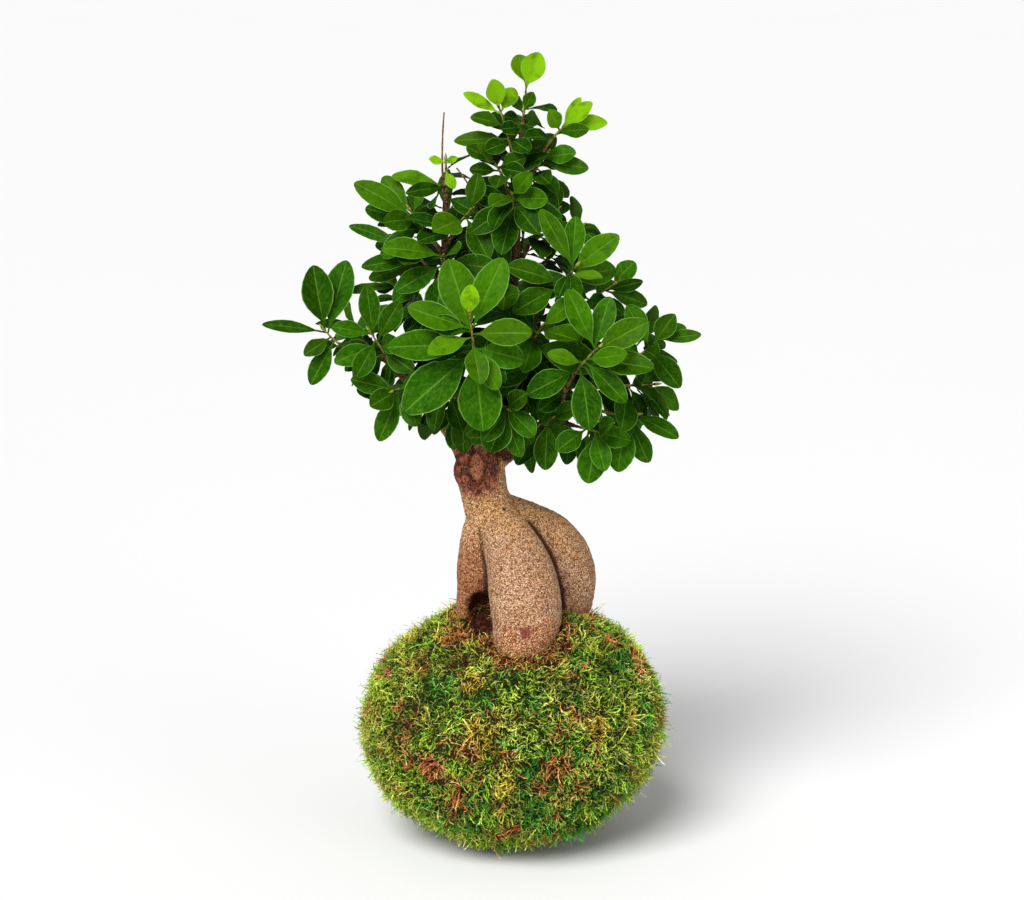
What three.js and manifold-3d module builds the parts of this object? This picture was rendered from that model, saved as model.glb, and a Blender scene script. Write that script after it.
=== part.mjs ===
// A kokedama: a small fig with swollen roots, growing from a ball of soil that is wrapped in moss.
// Millimetres, +Z up. The front faces -Y. The origin is the middle of the flat spot that the ball rests on.
import * as THREE from "three";
import { mergeVertices } from "three/addons/utils/BufferGeometryUtils.js";
import Module from "manifold-3d";

// Driving dimensions
const seat = 0.3; // clearance between pieces that touch
const ball = {
  radius: 102, // across
  halfHeight: 84,
  flatDepth: 4, // how far the underside is pressed flat
  tilt: -0.09, // radians about Y: the ball leans a little to the left
  mossThickness: 15,
  lumpHeight: 2.2,
  mossGrid: [20, 12], // faces round it and from pole to pole
  soilGrid: [12, 7],
};
const blade = {
  thickness: 0.8,
  rootThickness: 1.3,
  petiole: 0.13, // share of a leaf's length
  stations: [0, 0.42, 0.8, 1], // along a leaf
  sides: [[0, 0, 0], [-1, -1, 1], [-1, 0, 1], [0, 0, 0]], // across it there: flat at first, then folded
  widening: 1.06, // makes up for the straight sides between the stations
  fold: 0.18, // how far the edges stand above the midrib, per half width
  arch: 0.16, // how far the tip falls back, per length
};
const clearance = { leaf: 1.7, rim: 3, stem: 2 }; // over a leaf's middle surface, past its rim, round stems
const goldenAngle = 137.5; // degrees between one leaf and the next round a shoot
const frontLight = [0, -1, 0.4];
const twigRadius = 1.5; // where a leafy shoot begins
const tipRadius = 0.5;

const materials = {
  moss: new THREE.MeshStandardMaterial({ color: 0x5d7a22, roughness: 1 }),
  soil: new THREE.MeshStandardMaterial({ color: 0x3a281c, roughness: 1 }),
  bark: new THREE.MeshStandardMaterial({ color: 0xa07a5c, roughness: 0.85 }),
  leaf: new THREE.MeshStandardMaterial({ color: 0x2f7a14, roughness: 0.45 }),
};

// The swollen roots and the neck: middle points and radii, from the top down.
const roots = {
  neck: {
    points: [
      [-20, 3, 275], [-21, 3, 268], [-21, 2, 257], [-20, 1, 245],
      [-17.5, 0, 232], [-12, -2, 217], [-5, -4, 200],
    ],
    radii: [4, 12, 15.5, 16, 15.5, 17, 15],
    sides: 11,
    steps: 7,
  },
  left: {
    points: [
      [-15, 0, 228], [-19, -1, 214], [-22, -2, 202], [-22.5, -3, 188], [-24, -3, 175],
      [-28, -2, 164], [-31, -1, 151], [-30, 1, 132], [-22, 6, 108],
    ],
    radii: [12, 12, 12, 13.5, 12.5, 8.5, 6, 5.5, 3],
    sides: 9,
    steps: 8,
  },
  front: {
    points: [
      [-11, -5, 228], [-4, -13, 210], [4, -24, 192], [8, -33, 175],
      [9, -40, 160], [6, -45, 145], [3, -43, 130], [0, -32, 104],
    ],
    radii: [10, 16, 21, 23, 22.5, 18.5, 12, 3],
    sides: 11,
    steps: 8,
  },
  right: {
    points: [
      [-8, 4, 222], [8, 10, 212], [21, 14, 200], [30, 17, 183],
      [32, 18, 167], [31, 18, 151], [27, 14, 131], [20, 8, 104],
    ],
    radii: [12, 15, 20, 23.5, 23.5, 20.5, 14, 3],
    sides: 11,
    steps: 8,
  },
  inner: {
    points: [[-6, 4, 204], [-9, 12, 184], [-12, 15, 164], [-10, 14, 144], [-6, 8, 120]],
    radii: [10, 12, 12, 9, 3],
    sides: 8,
    steps: 4,
  },
};
const scar = {
  at: [-24, -7, 251],
  facing: [-0.2, -0.95, 0.24],
  radius: 12,
  flare: 1.25, // how much wider its foot is
  length: 11,
  dish: 2.4, // depth of the bare wood's hollow
  dishWidths: [0.78, 0.45], // the hollow's mouth and floor, per radius
  sides: 11,
};
const tubeFaces = { limb: [5, 4], twig: [3, 1], bareTwig: [4, 2], stem: [3, 3] }; // round and along each tube

// Woody limbs from the top of the neck: start, pull and end of a quadratic curve, and the radii at its ends.
const limbs = {
  right: { curve: [[-13, 3, 256], [2, 11, 334], [5, 3, 462]], radii: [6, 1.7] },
  left: { curve: [[-27, 2, 256], [-47, 7, 334], [-42, -2, 432]], radii: [5.6, 1.7] },
  front: { curve: [[-20, -5, 256], [-20, -26, 293], [-23, -58, 324]], radii: [5, 1.8] },
  rightLow: { curve: [[-12, -1, 254], [20, -8, 276], [55, -18, 311]], radii: [5.4, 2] },
  leftLow: { curve: [[-29, 1, 254], [-48, -4, 292], [-83, -6, 325]], radii: [5, 1.8] },
  back: { curve: [[-20, 8, 258], [-14, 44, 284], [-4, 66, 342]], radii: [5.2, 1.8] },
};
const bareTwigs = [
  { limb: "left", at: 0.94, curve: [[-46, 1, 448], [-43, -2, 482]], radius: 0.9 },
  { limb: "right", at: 0.62, curve: [[-23, -12, 435], [-35, -14, 448]], radius: 0.9 },
];

// Each leafy shoot: the limb that it leaves and where, the pull and the tip of its curve, the share of it that
// is bare wood, and its leaves. The ones in plain view are set: place on the leafy part, reach from root to tip,
// and width. The others are grown: how many, how long, the turn of the first in degrees, and how far they hang.
const shoots = [
  {
    name: "shoot_front_rosette", limb: "front", at: 1, pull: [-23, -66, 337], tip: [-26, -84, 366], wood: 0.2,
    set: [
      [0.96, [0, -9, 20], 12],
      [0.6, [-14, 4, 49], 24],
      [0.74, [17, -3, 45], 21],
      [0.76, [-37, -10, 15], 18],
      [0.46, [-51, -16, 4], 20],
      [0.62, [-26, -20, -2], 14],
      [0.68, [35, -13, 4], 18],
      [0.42, [32, -2, -6], 18],
      [0.34, [-42, -20, -32], 29],
      [0.52, [4, -22, -19], 15],
      [0.44, [15, -17, -22], 14],
      [0.28, [6, -12, -46], 28],
    ],
  },
  {
    name: "shoot_top", limb: "right", at: 1, pull: [8, 2, 480], tip: [9, 0, 500], wood: 0.1,
    set: [
      [0.9, [8, -4, 23], 16],
      [0.96, [-4, 5, 20], 14],
      [0.5, [5, -7, 12], 9],
      [0.44, [-6, -6, 13], 9],
      [0.16, [9, 5, 9], 11],
      [0.3, [-13, 6, 4], 9],
      [0.12, [-14, -8, -9], 10],
    ],
  },
  {
    name: "shoot_top_left", limb: "right", at: 0.9, pull: [-2, -4, 468], tip: [-8, -8, 485], wood: 0.25,
    set: [
      [0.97, [-4, -7, 18], 13],
      [0.9, [8, 5, 16], 12],
      [0.86, [-23, -5, 14], 8],
      [0.6, [-20, -10, 9], 11],
      [0.35, [-34, -5, 2], 11],
      [0.45, [-8, 16, 14], 12],
      [0.3, [-14, -18, -2], 12],
    ],
  },
  {
    name: "shoot_top_right", limb: "right", at: 0.86, pull: [20, -2, 463], tip: [34, -4, 474], wood: 0.45,
    set: [
      [0.9, [17, -8, 16], 11],
      [0.97, [25, -8, 5], 10],
      [0.7, [18, -11, 2], 10],
      [0.75, [-5, -10, 13], 11],
      [0.85, [11, 2, 20], 7],
      [0.6, [18, 14, 6], 12],
    ],
  },
  {
    name: "shoot_upper_left", limb: "right", at: 0.8, pull: [-6, -6, 447], tip: [-13, -10, 453], wood: 0.3,
    set: [
      [0.95, [-15, -8, 10], 10],
      [0.75, [-6, -13, 16], 12],
      [0.6, [16, -12, 8], 12],
      [0.5, [-20, 4, 1], 10],
      [0.4, [-2, -25, -3], 14],
      [0.25, [8, -14, -16], 14],
    ],
  },
  {
    name: "shoot_upper_right", limb: "right", at: 0.78, pull: [12, -2, 444], tip: [21, -4, 455], wood: 0.42,
    set: [
      [0.9, [19, -10, 4], 13],
      [0.7, [30, -8, -2], 12],
      [0.5, [14, -12, -11], 10],
      [0.6, [13, 20, 6], 13],
      [0.4, [16, -24, -4], 13],
      [0.2, [-4, -22, -14], 14],
    ],
  },
  {
    name: "shoot_mid_front", limb: "right", at: 0.68, pull: [2, -10, 424], tip: [0, -22, 432], wood: 0.4,
    set: [
      [0.9, [-20, -14, 10], 14],
      [0.7, [20, -16, 8], 14],
      [0.5, [-26, -16, -12], 16],
      [0.95, [3, -10, 22], 12],
      [0.6, [14, -22, -14], 16],
      [0.4, [-8, -24, -22], 17],
    ],
  },
  {
    name: "shoot_mid_right", limb: "right", at: 0.64, pull: [17, 0, 413], tip: [27, -5, 420], wood: 0.3,
    leaves: 6, length: 30, turn: 130, hang: 0.1,
  },
  {
    name: "shoot_left_top", limb: "left", at: 1, pull: [-42, -3, 444], tip: [-42, -5, 451], wood: 0.1,
    set: [
      [0.95, [-10, -5, 3], 6],
      [0.9, [6, -5, 5], 5],
      [0.6, [5, -7, -10], 7],
      [0.02, [-33, -5, 10], 13],
    ],
  },
  {
    name: "shoot_left_upper", limb: "left", at: 0.78, pull: [-55, -6, 407], tip: [-64, -10, 420], wood: 0.3,
    set: [
      [0.75, [-36, -10, 25], 16],
      [0.98, [-20, 12, 22], 13],
      [0.6, [-37, 9, 9], 14],
      [0.7, [-18, -24, 4], 15],
      [0.9, [2, 6, 19], 11],
      [0.5, [-26, -14, -14], 15],
    ],
  },
  {
    name: "shoot_left_middle", limb: "left", at: 0.66, pull: [-57, -8, 390], tip: [-66, -14, 397], wood: 0.3,
    set: [
      [0.9, [-40, -14, 15], 9],
      [0.8, [-26, 22, 6], 14],
      [0.5, [-35, -11, -3], 12],
      [0.4, [-35, 3, -13], 11],
      [0.6, [-14, -26, -4], 15],
      [0.2, [-20, -16, -20], 15],
    ],
  },
  {
    name: "shoot_between", limb: "left", at: 0.8, pull: [-35, -10, 412], tip: [-27, -18, 421], wood: 0.42,
    set: [
      [0.7, [16, -14, -24], 17],
      [0.95, [8, -4, 24], 13],
      [0.5, [-15, -27, 0], 20],
      [0.6, [30, 6, -2], 14],
    ],
  },
  {
    name: "shoot_left_front", limb: "left", at: 0.6, pull: [-43, -14, 389], tip: [-43, -28, 394], wood: 0.3,
    set: [
      [0.9, [-36, -12, 12], 15],
      [0.8, [4, -30, 10], 20],
      [0.6, [34, -12, 4], 16],
      [0.5, [-30, -12, -14], 16],
      [0.7, [18, -14, -22], 16],
      [0.4, [-6, -18, -30], 18],
    ],
  },
  {
    name: "shoot_right_rosette", limb: "right", at: 0.44, pull: [23, -18, 364], tip: [40, -40, 389], wood: 0.4,
    set: [
      [0.95, [-20, -6, 37], 13],
      [0.85, [26, -12, 26], 17],
      [0.8, [20, -12, 2], 8],
      [0.7, [32, 2, 8], 17],
      [0.9, [2, 8, 34], 14],
      [0.6, [-32, -10, 14], 17],
      [0.5, [-26, -24, -8], 17],
      [0.65, [8, -32, -2], 16],
      [0.4, [14, -22, -28], 18],
    ],
  },
  {
    name: "shoot_right_front", limb: "rightLow", at: 0.62, pull: [33, -48, 320], tip: [53, -68, 342], wood: 0.4,
    set: [
      [0.95, [-17, -6, 38], 16],
      [0.85, [32, -12, 23], 18],
      [0.75, [39, -14, -5], 17],
      [0.9, [10, 8, 34], 15],
      [0.6, [-20, -14, 8], 10],
      [0.5, [8, -14, -36], 20],
      [0.65, [26, -14, -22], 15],
      [0.7, [20, -26, 6], 13],
      [0.45, [-32, -8, -14], 18],
    ],
  },
  {
    name: "shoot_right_far", limb: "rightLow", at: 0.95, pull: [75, -16, 321], tip: [94, -14, 339], wood: 0.4,
    set: [
      [0.95, [27, -6, 5], 9],
      [0.85, [12, -8, 19], 14],
      [0.75, [-14, -10, 26], 16],
      [0.7, [20, -14, -22], 15],
      [0.6, [4, -28, 6], 15],
      [0.9, [20, 6, 10], 11],
      [0.5, [-12, -26, 12], 15],
      [0.55, [14, 26, 8], 15],
    ],
  },
  {
    name: "shoot_right_edge", limb: "rightLow", at: 0.98, pull: [71, -22, 309], tip: [90, -24, 311], wood: 0.4,
    leaves: 8, length: 37, turn: 140, hang: 0.3,
  },
  {
    name: "shoot_right_low", limb: "rightLow", at: 0.8, pull: [63, -26, 290], tip: [78, -32, 293], wood: 0.4,
    set: [
      [0.92, [31, -11, -9], 15],
      [0.7, [-5, -12, -34], 19],
      [0.6, [-20, -16, -20], 14],
      [0.8, [9, -10, -31], 15],
      [0.5, [14, 18, -20], 15],
    ],
  },
  {
    name: "shoot_right_hanging", limb: "rightLow", at: 0.6, pull: [43, -30, 284], tip: [55, -38, 283], wood: 0.4,
    set: [
      [0.9, [-4, -9, -32], 19],
      [0.8, [9, -13, -22], 14],
      [0.7, [20, -14, -8], 14],
      [0.5, [-19, -14, -10], 15],
      [0.6, [8, 14, -20], 14],
      [0.95, [12, -14, 16], 13],
    ],
  },
  {
    name: "shoot_left_far", limb: "leftLow", at: 1, pull: [-105, -8, 325], tip: [-120, -8, 343], wood: 0.5,
    set: [
      [0.98, [-8, -5, 42], 21],
      [0.88, [11, 4, 47], 20],
      [0.93, [-40, -6, 9], 8],
      [0.6, [-16, -10, -26], 14],
      [0.5, [20, -12, -3], 12],
      [0.75, [-15, -13, -8], 11],
    ],
  },
  {
    name: "shoot_left_near", limb: "leftLow", at: 0.85, pull: [-81, -16, 329], tip: [-90, -22, 344], wood: 0.3,
    set: [
      [0.95, [-24, -8, 7], 11],
      [0.85, [-4, -4, 33], 14],
      [0.7, [14, -10, 29], 14],
      [0.6, [-26, -16, -8], 14],
      [0.5, [10, -23, 8], 14],
      [0.4, [18, -18, -9], 14],
      [0.75, [-10, -20, -19], 14],
      [0.3, [-16, 14, -14], 13],
    ],
  },
  {
    name: "shoot_left_high", limb: "left", at: 0.42, pull: [-63, 4, 361], tip: [-77, 2, 373], wood: 0.3,
    leaves: 8, length: 40, turn: 110, hang: 0,
  },
  {
    name: "shoot_left_low", limb: "leftLow", at: 0.6, pull: [-67, -14, 309], tip: [-75, -24, 307], wood: 0.4,
    set: [
      [0.9, [-27, -10, 8], 14],
      [0.8, [-15, -19, -7], 15],
      [0.6, [-14, -10, -32], 15],
      [0.5, [10, -18, -18], 15],
      [0.7, [15, -16, 9], 14],
      [0.45, [-8, 14, -22], 14],
      [0.95, [-12, -8, 18], 13],
    ],
  },
  {
    name: "shoot_low_front", limb: "front", at: 0.6, pull: [-8, -42, 303], tip: [-3, -53, 301], wood: 0.4,
    set: [
      [0.9, [-9, -9, -27], 20],
      [0.8, [7, -9, -31], 15],
      [0.6, [-25, -13, -11], 15],
      [0.7, [19, -16, -13], 15],
      [0.95, [10, -16, 12], 13],
      [0.45, [-17, -6, -24], 14],
      [0.5, [20, -4, -24], 14],
    ],
  },
  {
    name: "shoot_low_left", limb: "front", at: 0.5, pull: [-35, -32, 304], tip: [-46, -41, 311], wood: 0.35,
    set: [
      [0.9, [-22, -10, -12], 14],
      [0.8, [-8, -13, -21], 15],
      [0.12, [3, -8, -31], 16],
      [0.6, [13, -16, -16], 14],
      [0.95, [-16, -8, 13], 12],
      [0.5, [-19, 8, -12], 13],
      [0.7, [6, -20, 8], 13],
    ],
  },
  {
    name: "shoot_low_right", limb: "rightLow", at: 0.3, pull: [15, -24, 285], tip: [24, -34, 291], wood: 0.4,
    set: [
      [0.9, [-3, -9, -31], 16],
      [0.7, [10, -13, -23], 15],
      [0.8, [-16, -12, -24], 14],
      [0.5, [16, -17, -8], 14],
      [0.6, [-16, -16, -6], 14],
      [0.4, [6, -22, 8], 14],
      [0.95, [18, -10, 10], 12],
      [0.3, [8, 11, -24], 14],
    ],
  },
  {
    name: "shoot_inner_right", limb: "right", at: 0.3, pull: [12, -22, 338], tip: [19, -40, 351], wood: 0.4,
    leaves: 8, length: 42, turn: 95, hang: 0,
  },
  {
    name: "shoot_inner", limb: "right", at: 0.46, pull: [-2, -16, 374], tip: [-4, -34, 384], wood: 0.4,
    leaves: 7, length: 40, turn: 45, hang: 0,
  },
  {
    name: "shoot_right_high", limb: "right", at: 0.56, pull: [30, 4, 398], tip: [43, 2, 408], wood: 0.4,
    leaves: 7, length: 29, turn: 50, hang: 0.1,
  },
  {
    name: "shoot_right_back", limb: "right", at: 0.42, pull: [44, 8, 355], tip: [65, 4, 371], wood: 0.4,
    set: [
      [0.95, [15, 6, 16], 13],
      [0.8, [28, -2, -8], 12],
      [0.7, [-2, -10, 27], 14],
      [0.6, [10, 20, 12], 14],
      [0.5, [-16, -14, 12], 14],
      [0.4, [8, -24, 6], 15],
      [0.3, [14, 10, -24], 14],
    ],
  },
  {
    name: "shoot_back_low_left", limb: "back", at: 0.4, pull: [-41, 44, 286], tip: [-64, 56, 303], wood: 0.4,
    leaves: 6, length: 42, turn: 20, hang: 0.3,
  },
  {
    name: "shoot_back_low", limb: "back", at: 0.6, pull: [-8, 70, 301], tip: [0, 92, 308], wood: 0.4,
    leaves: 6, length: 42, turn: 70, hang: 0.3,
  },
  {
    name: "shoot_back_low_right", limb: "back", at: 0.4, pull: [20, 44, 286], tip: [51, 60, 297], wood: 0.4,
    leaves: 6, length: 42, turn: 110, hang: 0.4,
  },
  {
    name: "shoot_back_left", limb: "back", at: 0.8, pull: [-41, 62, 332], tip: [-67, 56, 356], wood: 0.4,
    leaves: 6, length: 42, turn: 50, hang: 0,
  },
  {
    name: "shoot_back_middle", limb: "back", at: 1, pull: [-6, 78, 353], tip: [-14, 86, 380], wood: 0.3,
    leaves: 7, length: 42, turn: 0, hang: 0,
  },
  {
    name: "shoot_back_right", limb: "back", at: 0.9, pull: [29, 66, 338], tip: [53, 70, 359], wood: 0.4,
    leaves: 6, length: 42, turn: 90, hang: 0,
  },
  {
    name: "shoot_back_side", limb: "rightLow", at: 0.7, pull: [64, 14, 310], tip: [85, 36, 329], wood: 0.4,
    leaves: 6, length: 40, turn: 60, hang: 0.1,
  },
  {
    name: "shoot_back_upper_left", limb: "left", at: 0.6, pull: [-46, 24, 392], tip: [-40, 44, 413], wood: 0.4,
    leaves: 6, length: 40, turn: 30, hang: 0,
  },
  {
    name: "shoot_back_upper", limb: "right", at: 0.5, pull: [6, 28, 392], tip: [10, 46, 415], wood: 0.4,
    leaves: 6, length: 40, turn: 80, hang: 0,
  },
  {
    name: "shoot_back_far_left", limb: "leftLow", at: 0.9, pull: [-90, 14, 326], tip: [-103, 30, 339], wood: 0.4,
    leaves: 6, length: 38, turn: 30, hang: 0.2,
  },
  {
    name: "shoot_back_high", limb: "right", at: 0.74, pull: [8, 14, 438], tip: [12, 28, 453], wood: 0.3,
    leaves: 6, length: 36, turn: 0, hang: 0,
  },
];

const wasm = await Module();
wasm.setup();

// A geometry as a solid. Points that coincide become one, and triangles that close up are dropped.
function toSolid(geometry) {
  const bare = new THREE.BufferGeometry();
  bare.setAttribute("position", geometry.getAttribute("position"));
  bare.setIndex(geometry.getIndex());
  const merged = mergeVertices(bare, 1e-4);
  const corners = merged.getIndex().array;
  const kept = [];
  for (let i = 0; i < corners.length; i += 3) {
    const [a, b, c] = corners.slice(i, i + 3);
    if (a !== b && b !== c && c !== a) kept.push(a, b, c);
  }
  const vertProperties = new Float32Array(merged.getAttribute("position").array);
  return new wasm.Manifold(new wasm.Mesh({ numProp: 3, vertProperties, triVerts: new Uint32Array(kept) }));
}

function toMesh(name, solid, material) {
  const made = solid.getMesh();
  const geometry = new THREE.BufferGeometry();
  geometry.setAttribute("position", new THREE.BufferAttribute(new Float32Array(made.vertProperties), 3));
  geometry.setIndex(new THREE.BufferAttribute(new Uint32Array(made.triVerts), 1));
  geometry.computeVertexNormals();
  const mesh = new THREE.Mesh(geometry, material);
  mesh.name = name;
  return mesh;
}

const vector = (point) => new THREE.Vector3(...point);
const radians = (degrees) => (degrees * Math.PI) / 180;

// Draws from 0 to 1, the same ones each time for a seed.
function drawer(seed) {
  let state = seed;
  return () => {
    state = (state * 16807) % 2147483647;
    return state / 2147483647;
  };
}

// A closed tube with round sections: a cylinder bent along a curve, with its radius given along the curve.
function bentTube(curve, radiusAt, sides, steps) {
  const tube = new THREE.CylinderGeometry(1, 1, 1, sides, steps);
  const frames = curve.computeFrenetFrames(steps, false);
  const place = tube.getAttribute("position");
  const point = new THREE.Vector3();
  for (let i = 0; i < place.count; i++) {
    point.fromBufferAttribute(place, i);
    const step = Math.round((0.5 - point.y) * steps);
    const share = step / steps;
    const radius = radiusAt(curve.getUtoTmapping(share));
    const made = curve
      .getPointAt(share)
      .addScaledVector(frames.normals[step], point.x * radius)
      .addScaledVector(frames.binormals[step], point.z * radius);
    place.setXYZ(i, made.x, made.y, made.z);
  }
  return toSolid(tube);
}

function rootSolid(root, grow) {
  const curve = new THREE.CatmullRomCurve3(root.points.map(vector));
  const widths = new THREE.SplineCurve(root.radii.map((radius, i) => new THREE.Vector2(i, radius)));
  return bentTube(curve, (t) => widths.getPoint(t).y + grow, root.sides, root.steps);
}

// The roots and neck in one piece. Grown by a clearance, it is what the soil and moss are cut back from.
function rootStock(grow) {
  return Object.values(roots)
    .map((root) => rootSolid(root, grow))
    .reduce((all, root) => all.add(root));
}

// Where the old top was cut off: a ring of healed bark round a dished face of bare wood.
function addScar(trunk) {
  const towards = vector(scar.facing).normalize();
  const turned = new THREE.Quaternion().setFromUnitVectors(new THREE.Vector3(0, 1, 0), towards);
  const middle = vector(scar.at);
  const stub = new THREE.CylinderGeometry(scar.radius, scar.radius * scar.flare, scar.length, scar.sides)
    .applyQuaternion(turned)
    .translate(middle.x, middle.y, middle.z);
  const face = middle.clone().addScaledVector(towards, scar.length / 2);
  const [mouth, floor] = scar.dishWidths.map((share) => scar.radius * share);
  const dish = new THREE.CylinderGeometry(mouth, floor, scar.dish * 2, scar.sides)
    .applyQuaternion(turned)
    .translate(face.x, face.y, face.z);
  return trunk.add(toSolid(stub)).subtract(toSolid(dish));
}

const bezier = (points) => new THREE.QuadraticBezierCurve3(...points.map(vector));
const limbCurves = {};
for (const [name, limb] of Object.entries(limbs)) limbCurves[name] = bezier(limb.curve);

// A shoot's whole curve, from inside its limb to its tip.
function shootCurve(shoot) {
  const start = limbCurves[shoot.limb].getPoint(shoot.at);
  return new THREE.QuadraticBezierCurve3(start, vector(shoot.pull), vector(shoot.tip));
}

// The stretch of a quadratic curve between two of its places, as a curve of its own.
function stretch(curve, from, to) {
  const start = curve.getPoint(from);
  const end = curve.getPoint(to);
  const pull = start.clone().addScaledVector(bezierSlope(curve, from), (to - from) / 2);
  return new THREE.QuadraticBezierCurve3(start, pull, end);
}

// The slope of a quadratic curve, which is three.js's tangent at its true length.
function bezierSlope(curve, t) {
  const first = curve.v1.clone().sub(curve.v0).multiplyScalar(2 * (1 - t));
  return first.addScaledVector(curve.v2.clone().sub(curve.v1), 2 * t);
}

// Half the width of a leaf along its length, as a share of its widest.
function outline(t) {
  const along = Math.min(1, Math.max(0, (t - blade.petiole) / (1 - blade.petiole)));
  return Math.pow(Math.max(0, Math.sin(Math.PI * Math.pow(along, 1.25))), 0.8);
}

const halfWidth = (leaf, t) => (leaf.width / 2) * blade.widening * outline(t);

// A point of a leaf's middle surface: t runs from its root to its tip, and side from -1 to 1 across it.
function leafPoint(leaf, t, side) {
  const half = halfWidth(leaf, t);
  return leaf.root
    .clone()
    .addScaledVector(leaf.heading, leaf.length * t)
    .addScaledVector(leaf.across, side * half)
    .addScaledVector(leaf.face, Math.abs(side) * half * blade.fold - leaf.length * blade.arch * t * t);
}

// The way that a grown leaf's upper face looks: up, forwards and outside the crown, and along its shoot.
function lightOn(root, axis) {
  const outside = new THREE.Vector3(root.x, root.y, 0);
  if (outside.length() > 1) outside.normalize();
  return new THREE.Vector3(0, -0.3, 0.55).addScaledVector(outside, 0.6).addScaledVector(axis, 0.5);
}

// A leaf from its plan, turned about its shoot and rolled about itself by some degrees.
function makeLeaf(plan, turn, roll) {
  const { root, axis, length, width } = plan;
  const heading = plan.heading.clone().applyAxisAngle(axis, radians(turn));
  const face = plan.light.clone().addScaledVector(heading, -plan.light.dot(heading)).normalize();
  face.applyAxisAngle(heading, radians(plan.roll + roll));
  const across = new THREE.Vector3().crossVectors(face, heading);
  return { root, heading, face, across, length, width };
}

// The plan of leaf number `index` on a shoot where the leaves are grown.
function grownLeaf(shoot, curve, index, draw) {
  const share = (index + 0.5) / shoot.leaves;
  const place = shoot.wood + (1 - shoot.wood) * (0.12 + 0.86 * share);
  const root = curve.getPoint(place);
  const axis = bezierSlope(curve, place).normalize();
  const upward = Math.abs(axis.z) > 0.9 ? new THREE.Vector3(0, -1, 0) : new THREE.Vector3(0, 0, 1);
  const zero = upward.addScaledVector(axis, -upward.dot(axis)).normalize();
  const outward = zero.applyAxisAngle(axis, radians(shoot.turn + index * goldenAngle + 16 * (draw() - 0.5)));
  const spread = radians(78 - 44 * share + 14 * (draw() - 0.5));
  const heading = axis.clone().multiplyScalar(Math.cos(spread)).addScaledVector(outward, Math.sin(spread));
  heading.z -= shoot.hang;
  heading.normalize();
  const length = shoot.length * (1.06 - 0.42 * share * share + 0.16 * (draw() - 0.5));
  const width = length * (0.5 + 0.08 * (draw() - 0.5));
  return { root, axis, heading, length, width, light: lightOn(root, axis), roll: 40 * (draw() - 0.5) };
}

// The plan of a leaf that is set by its reach. It shows its face to the front.
function setLeaf(shoot, curve, [share, reach, width]) {
  const place = shoot.wood + (1 - shoot.wood) * share;
  const root = curve.getPoint(place);
  const axis = bezierSlope(curve, place).normalize();
  const length = vector(reach).length();
  return { root, axis, heading: vector(reach).normalize(), length, width, light: vector(frontLight), roll: 0 };
}

// Points spread over a leaf, which are held against other leaves.
function samplesOf(leaf) {
  const samples = [leafPoint(leaf, 1, 0)];
  for (const t of [0.12, 0.25, 0.38, 0.51, 0.64, 0.77, 0.9]) {
    for (const side of [-1, -0.5, 0, 0.5, 1]) samples.push(leafPoint(leaf, t, side));
  }
  return samples;
}

// How far a point stands above a leaf's middle surface, or null where it is past its rim or near its root.
function riseOver(leaf, point, margin, rootShare) {
  const from = point.clone().sub(leaf.root);
  const t = from.dot(leaf.heading) / leaf.length;
  const side = Math.abs(from.dot(leaf.across));
  if (t < rootShare || t > 1 + margin / leaf.length || side > halfWidth(leaf, t) + margin) return null;
  return from.dot(leaf.face) - side * blade.fold + leaf.length * blade.arch * t * t;
}

// Whether points keep to one side of a leaf, clear of it.
function keepsOff(samples, leaf, rootShare) {
  const rises = samples.map((point) => riseOver(leaf, point, clearance.rim, rootShare));
  const near = rises.filter((rise) => rise !== null);
  return near.every((rise) => rise > clearance.leaf) || near.every((rise) => rise < -clearance.leaf);
}

function isClear(leaf, samples, shootName, placed, stems) {
  for (const other of placed) {
    if (other.samples[0].distanceTo(samples[0]) > 110) continue;
    const rootShare = other.shoot === shootName ? 0.22 : 0.03;
    if (!keepsOff(samples, other.leaf, rootShare) || !keepsOff(other.samples, leaf, rootShare)) return false;
  }
  for (const stem of stems) {
    if (stem.shoot === shootName) continue;
    const room = stem.radius + clearance.stem;
    const rise = riseOver(leaf, stem.point, room, 0.03);
    if (rise !== null && Math.abs(rise) < room) return false;
  }
  return true;
}

// Points along a stem, with its radius there.
function stemPoints(curve, radiusAt, count, shoot) {
  return Array.from({ length: count + 1 }, (unused, i) => {
    return { point: curve.getPoint(i / count), radius: radiusAt(i / count), shoot };
  });
}

const shootRadius = (t) => twigRadius + (tipRadius - twigRadius) * t;
const limbRadius = (limb) => (t) => limb.radii[0] + (limb.radii[1] - limb.radii[0]) * t;

// The first way of placing a planned leaf that keeps clear of what is there already.
function fitLeaf(plan, shootName, placed, stems) {
  for (const turn of [0, 12, -12, 24, -24, 38, -38, 54, -54]) {
    for (const roll of [0, 22, -22]) {
      const leaf = makeLeaf(plan, turn, roll);
      const samples = samplesOf(leaf);
      if (isClear(leaf, samples, shootName, placed, stems)) return { shoot: shootName, leaf, samples };
    }
  }
  return null;
}

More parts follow.
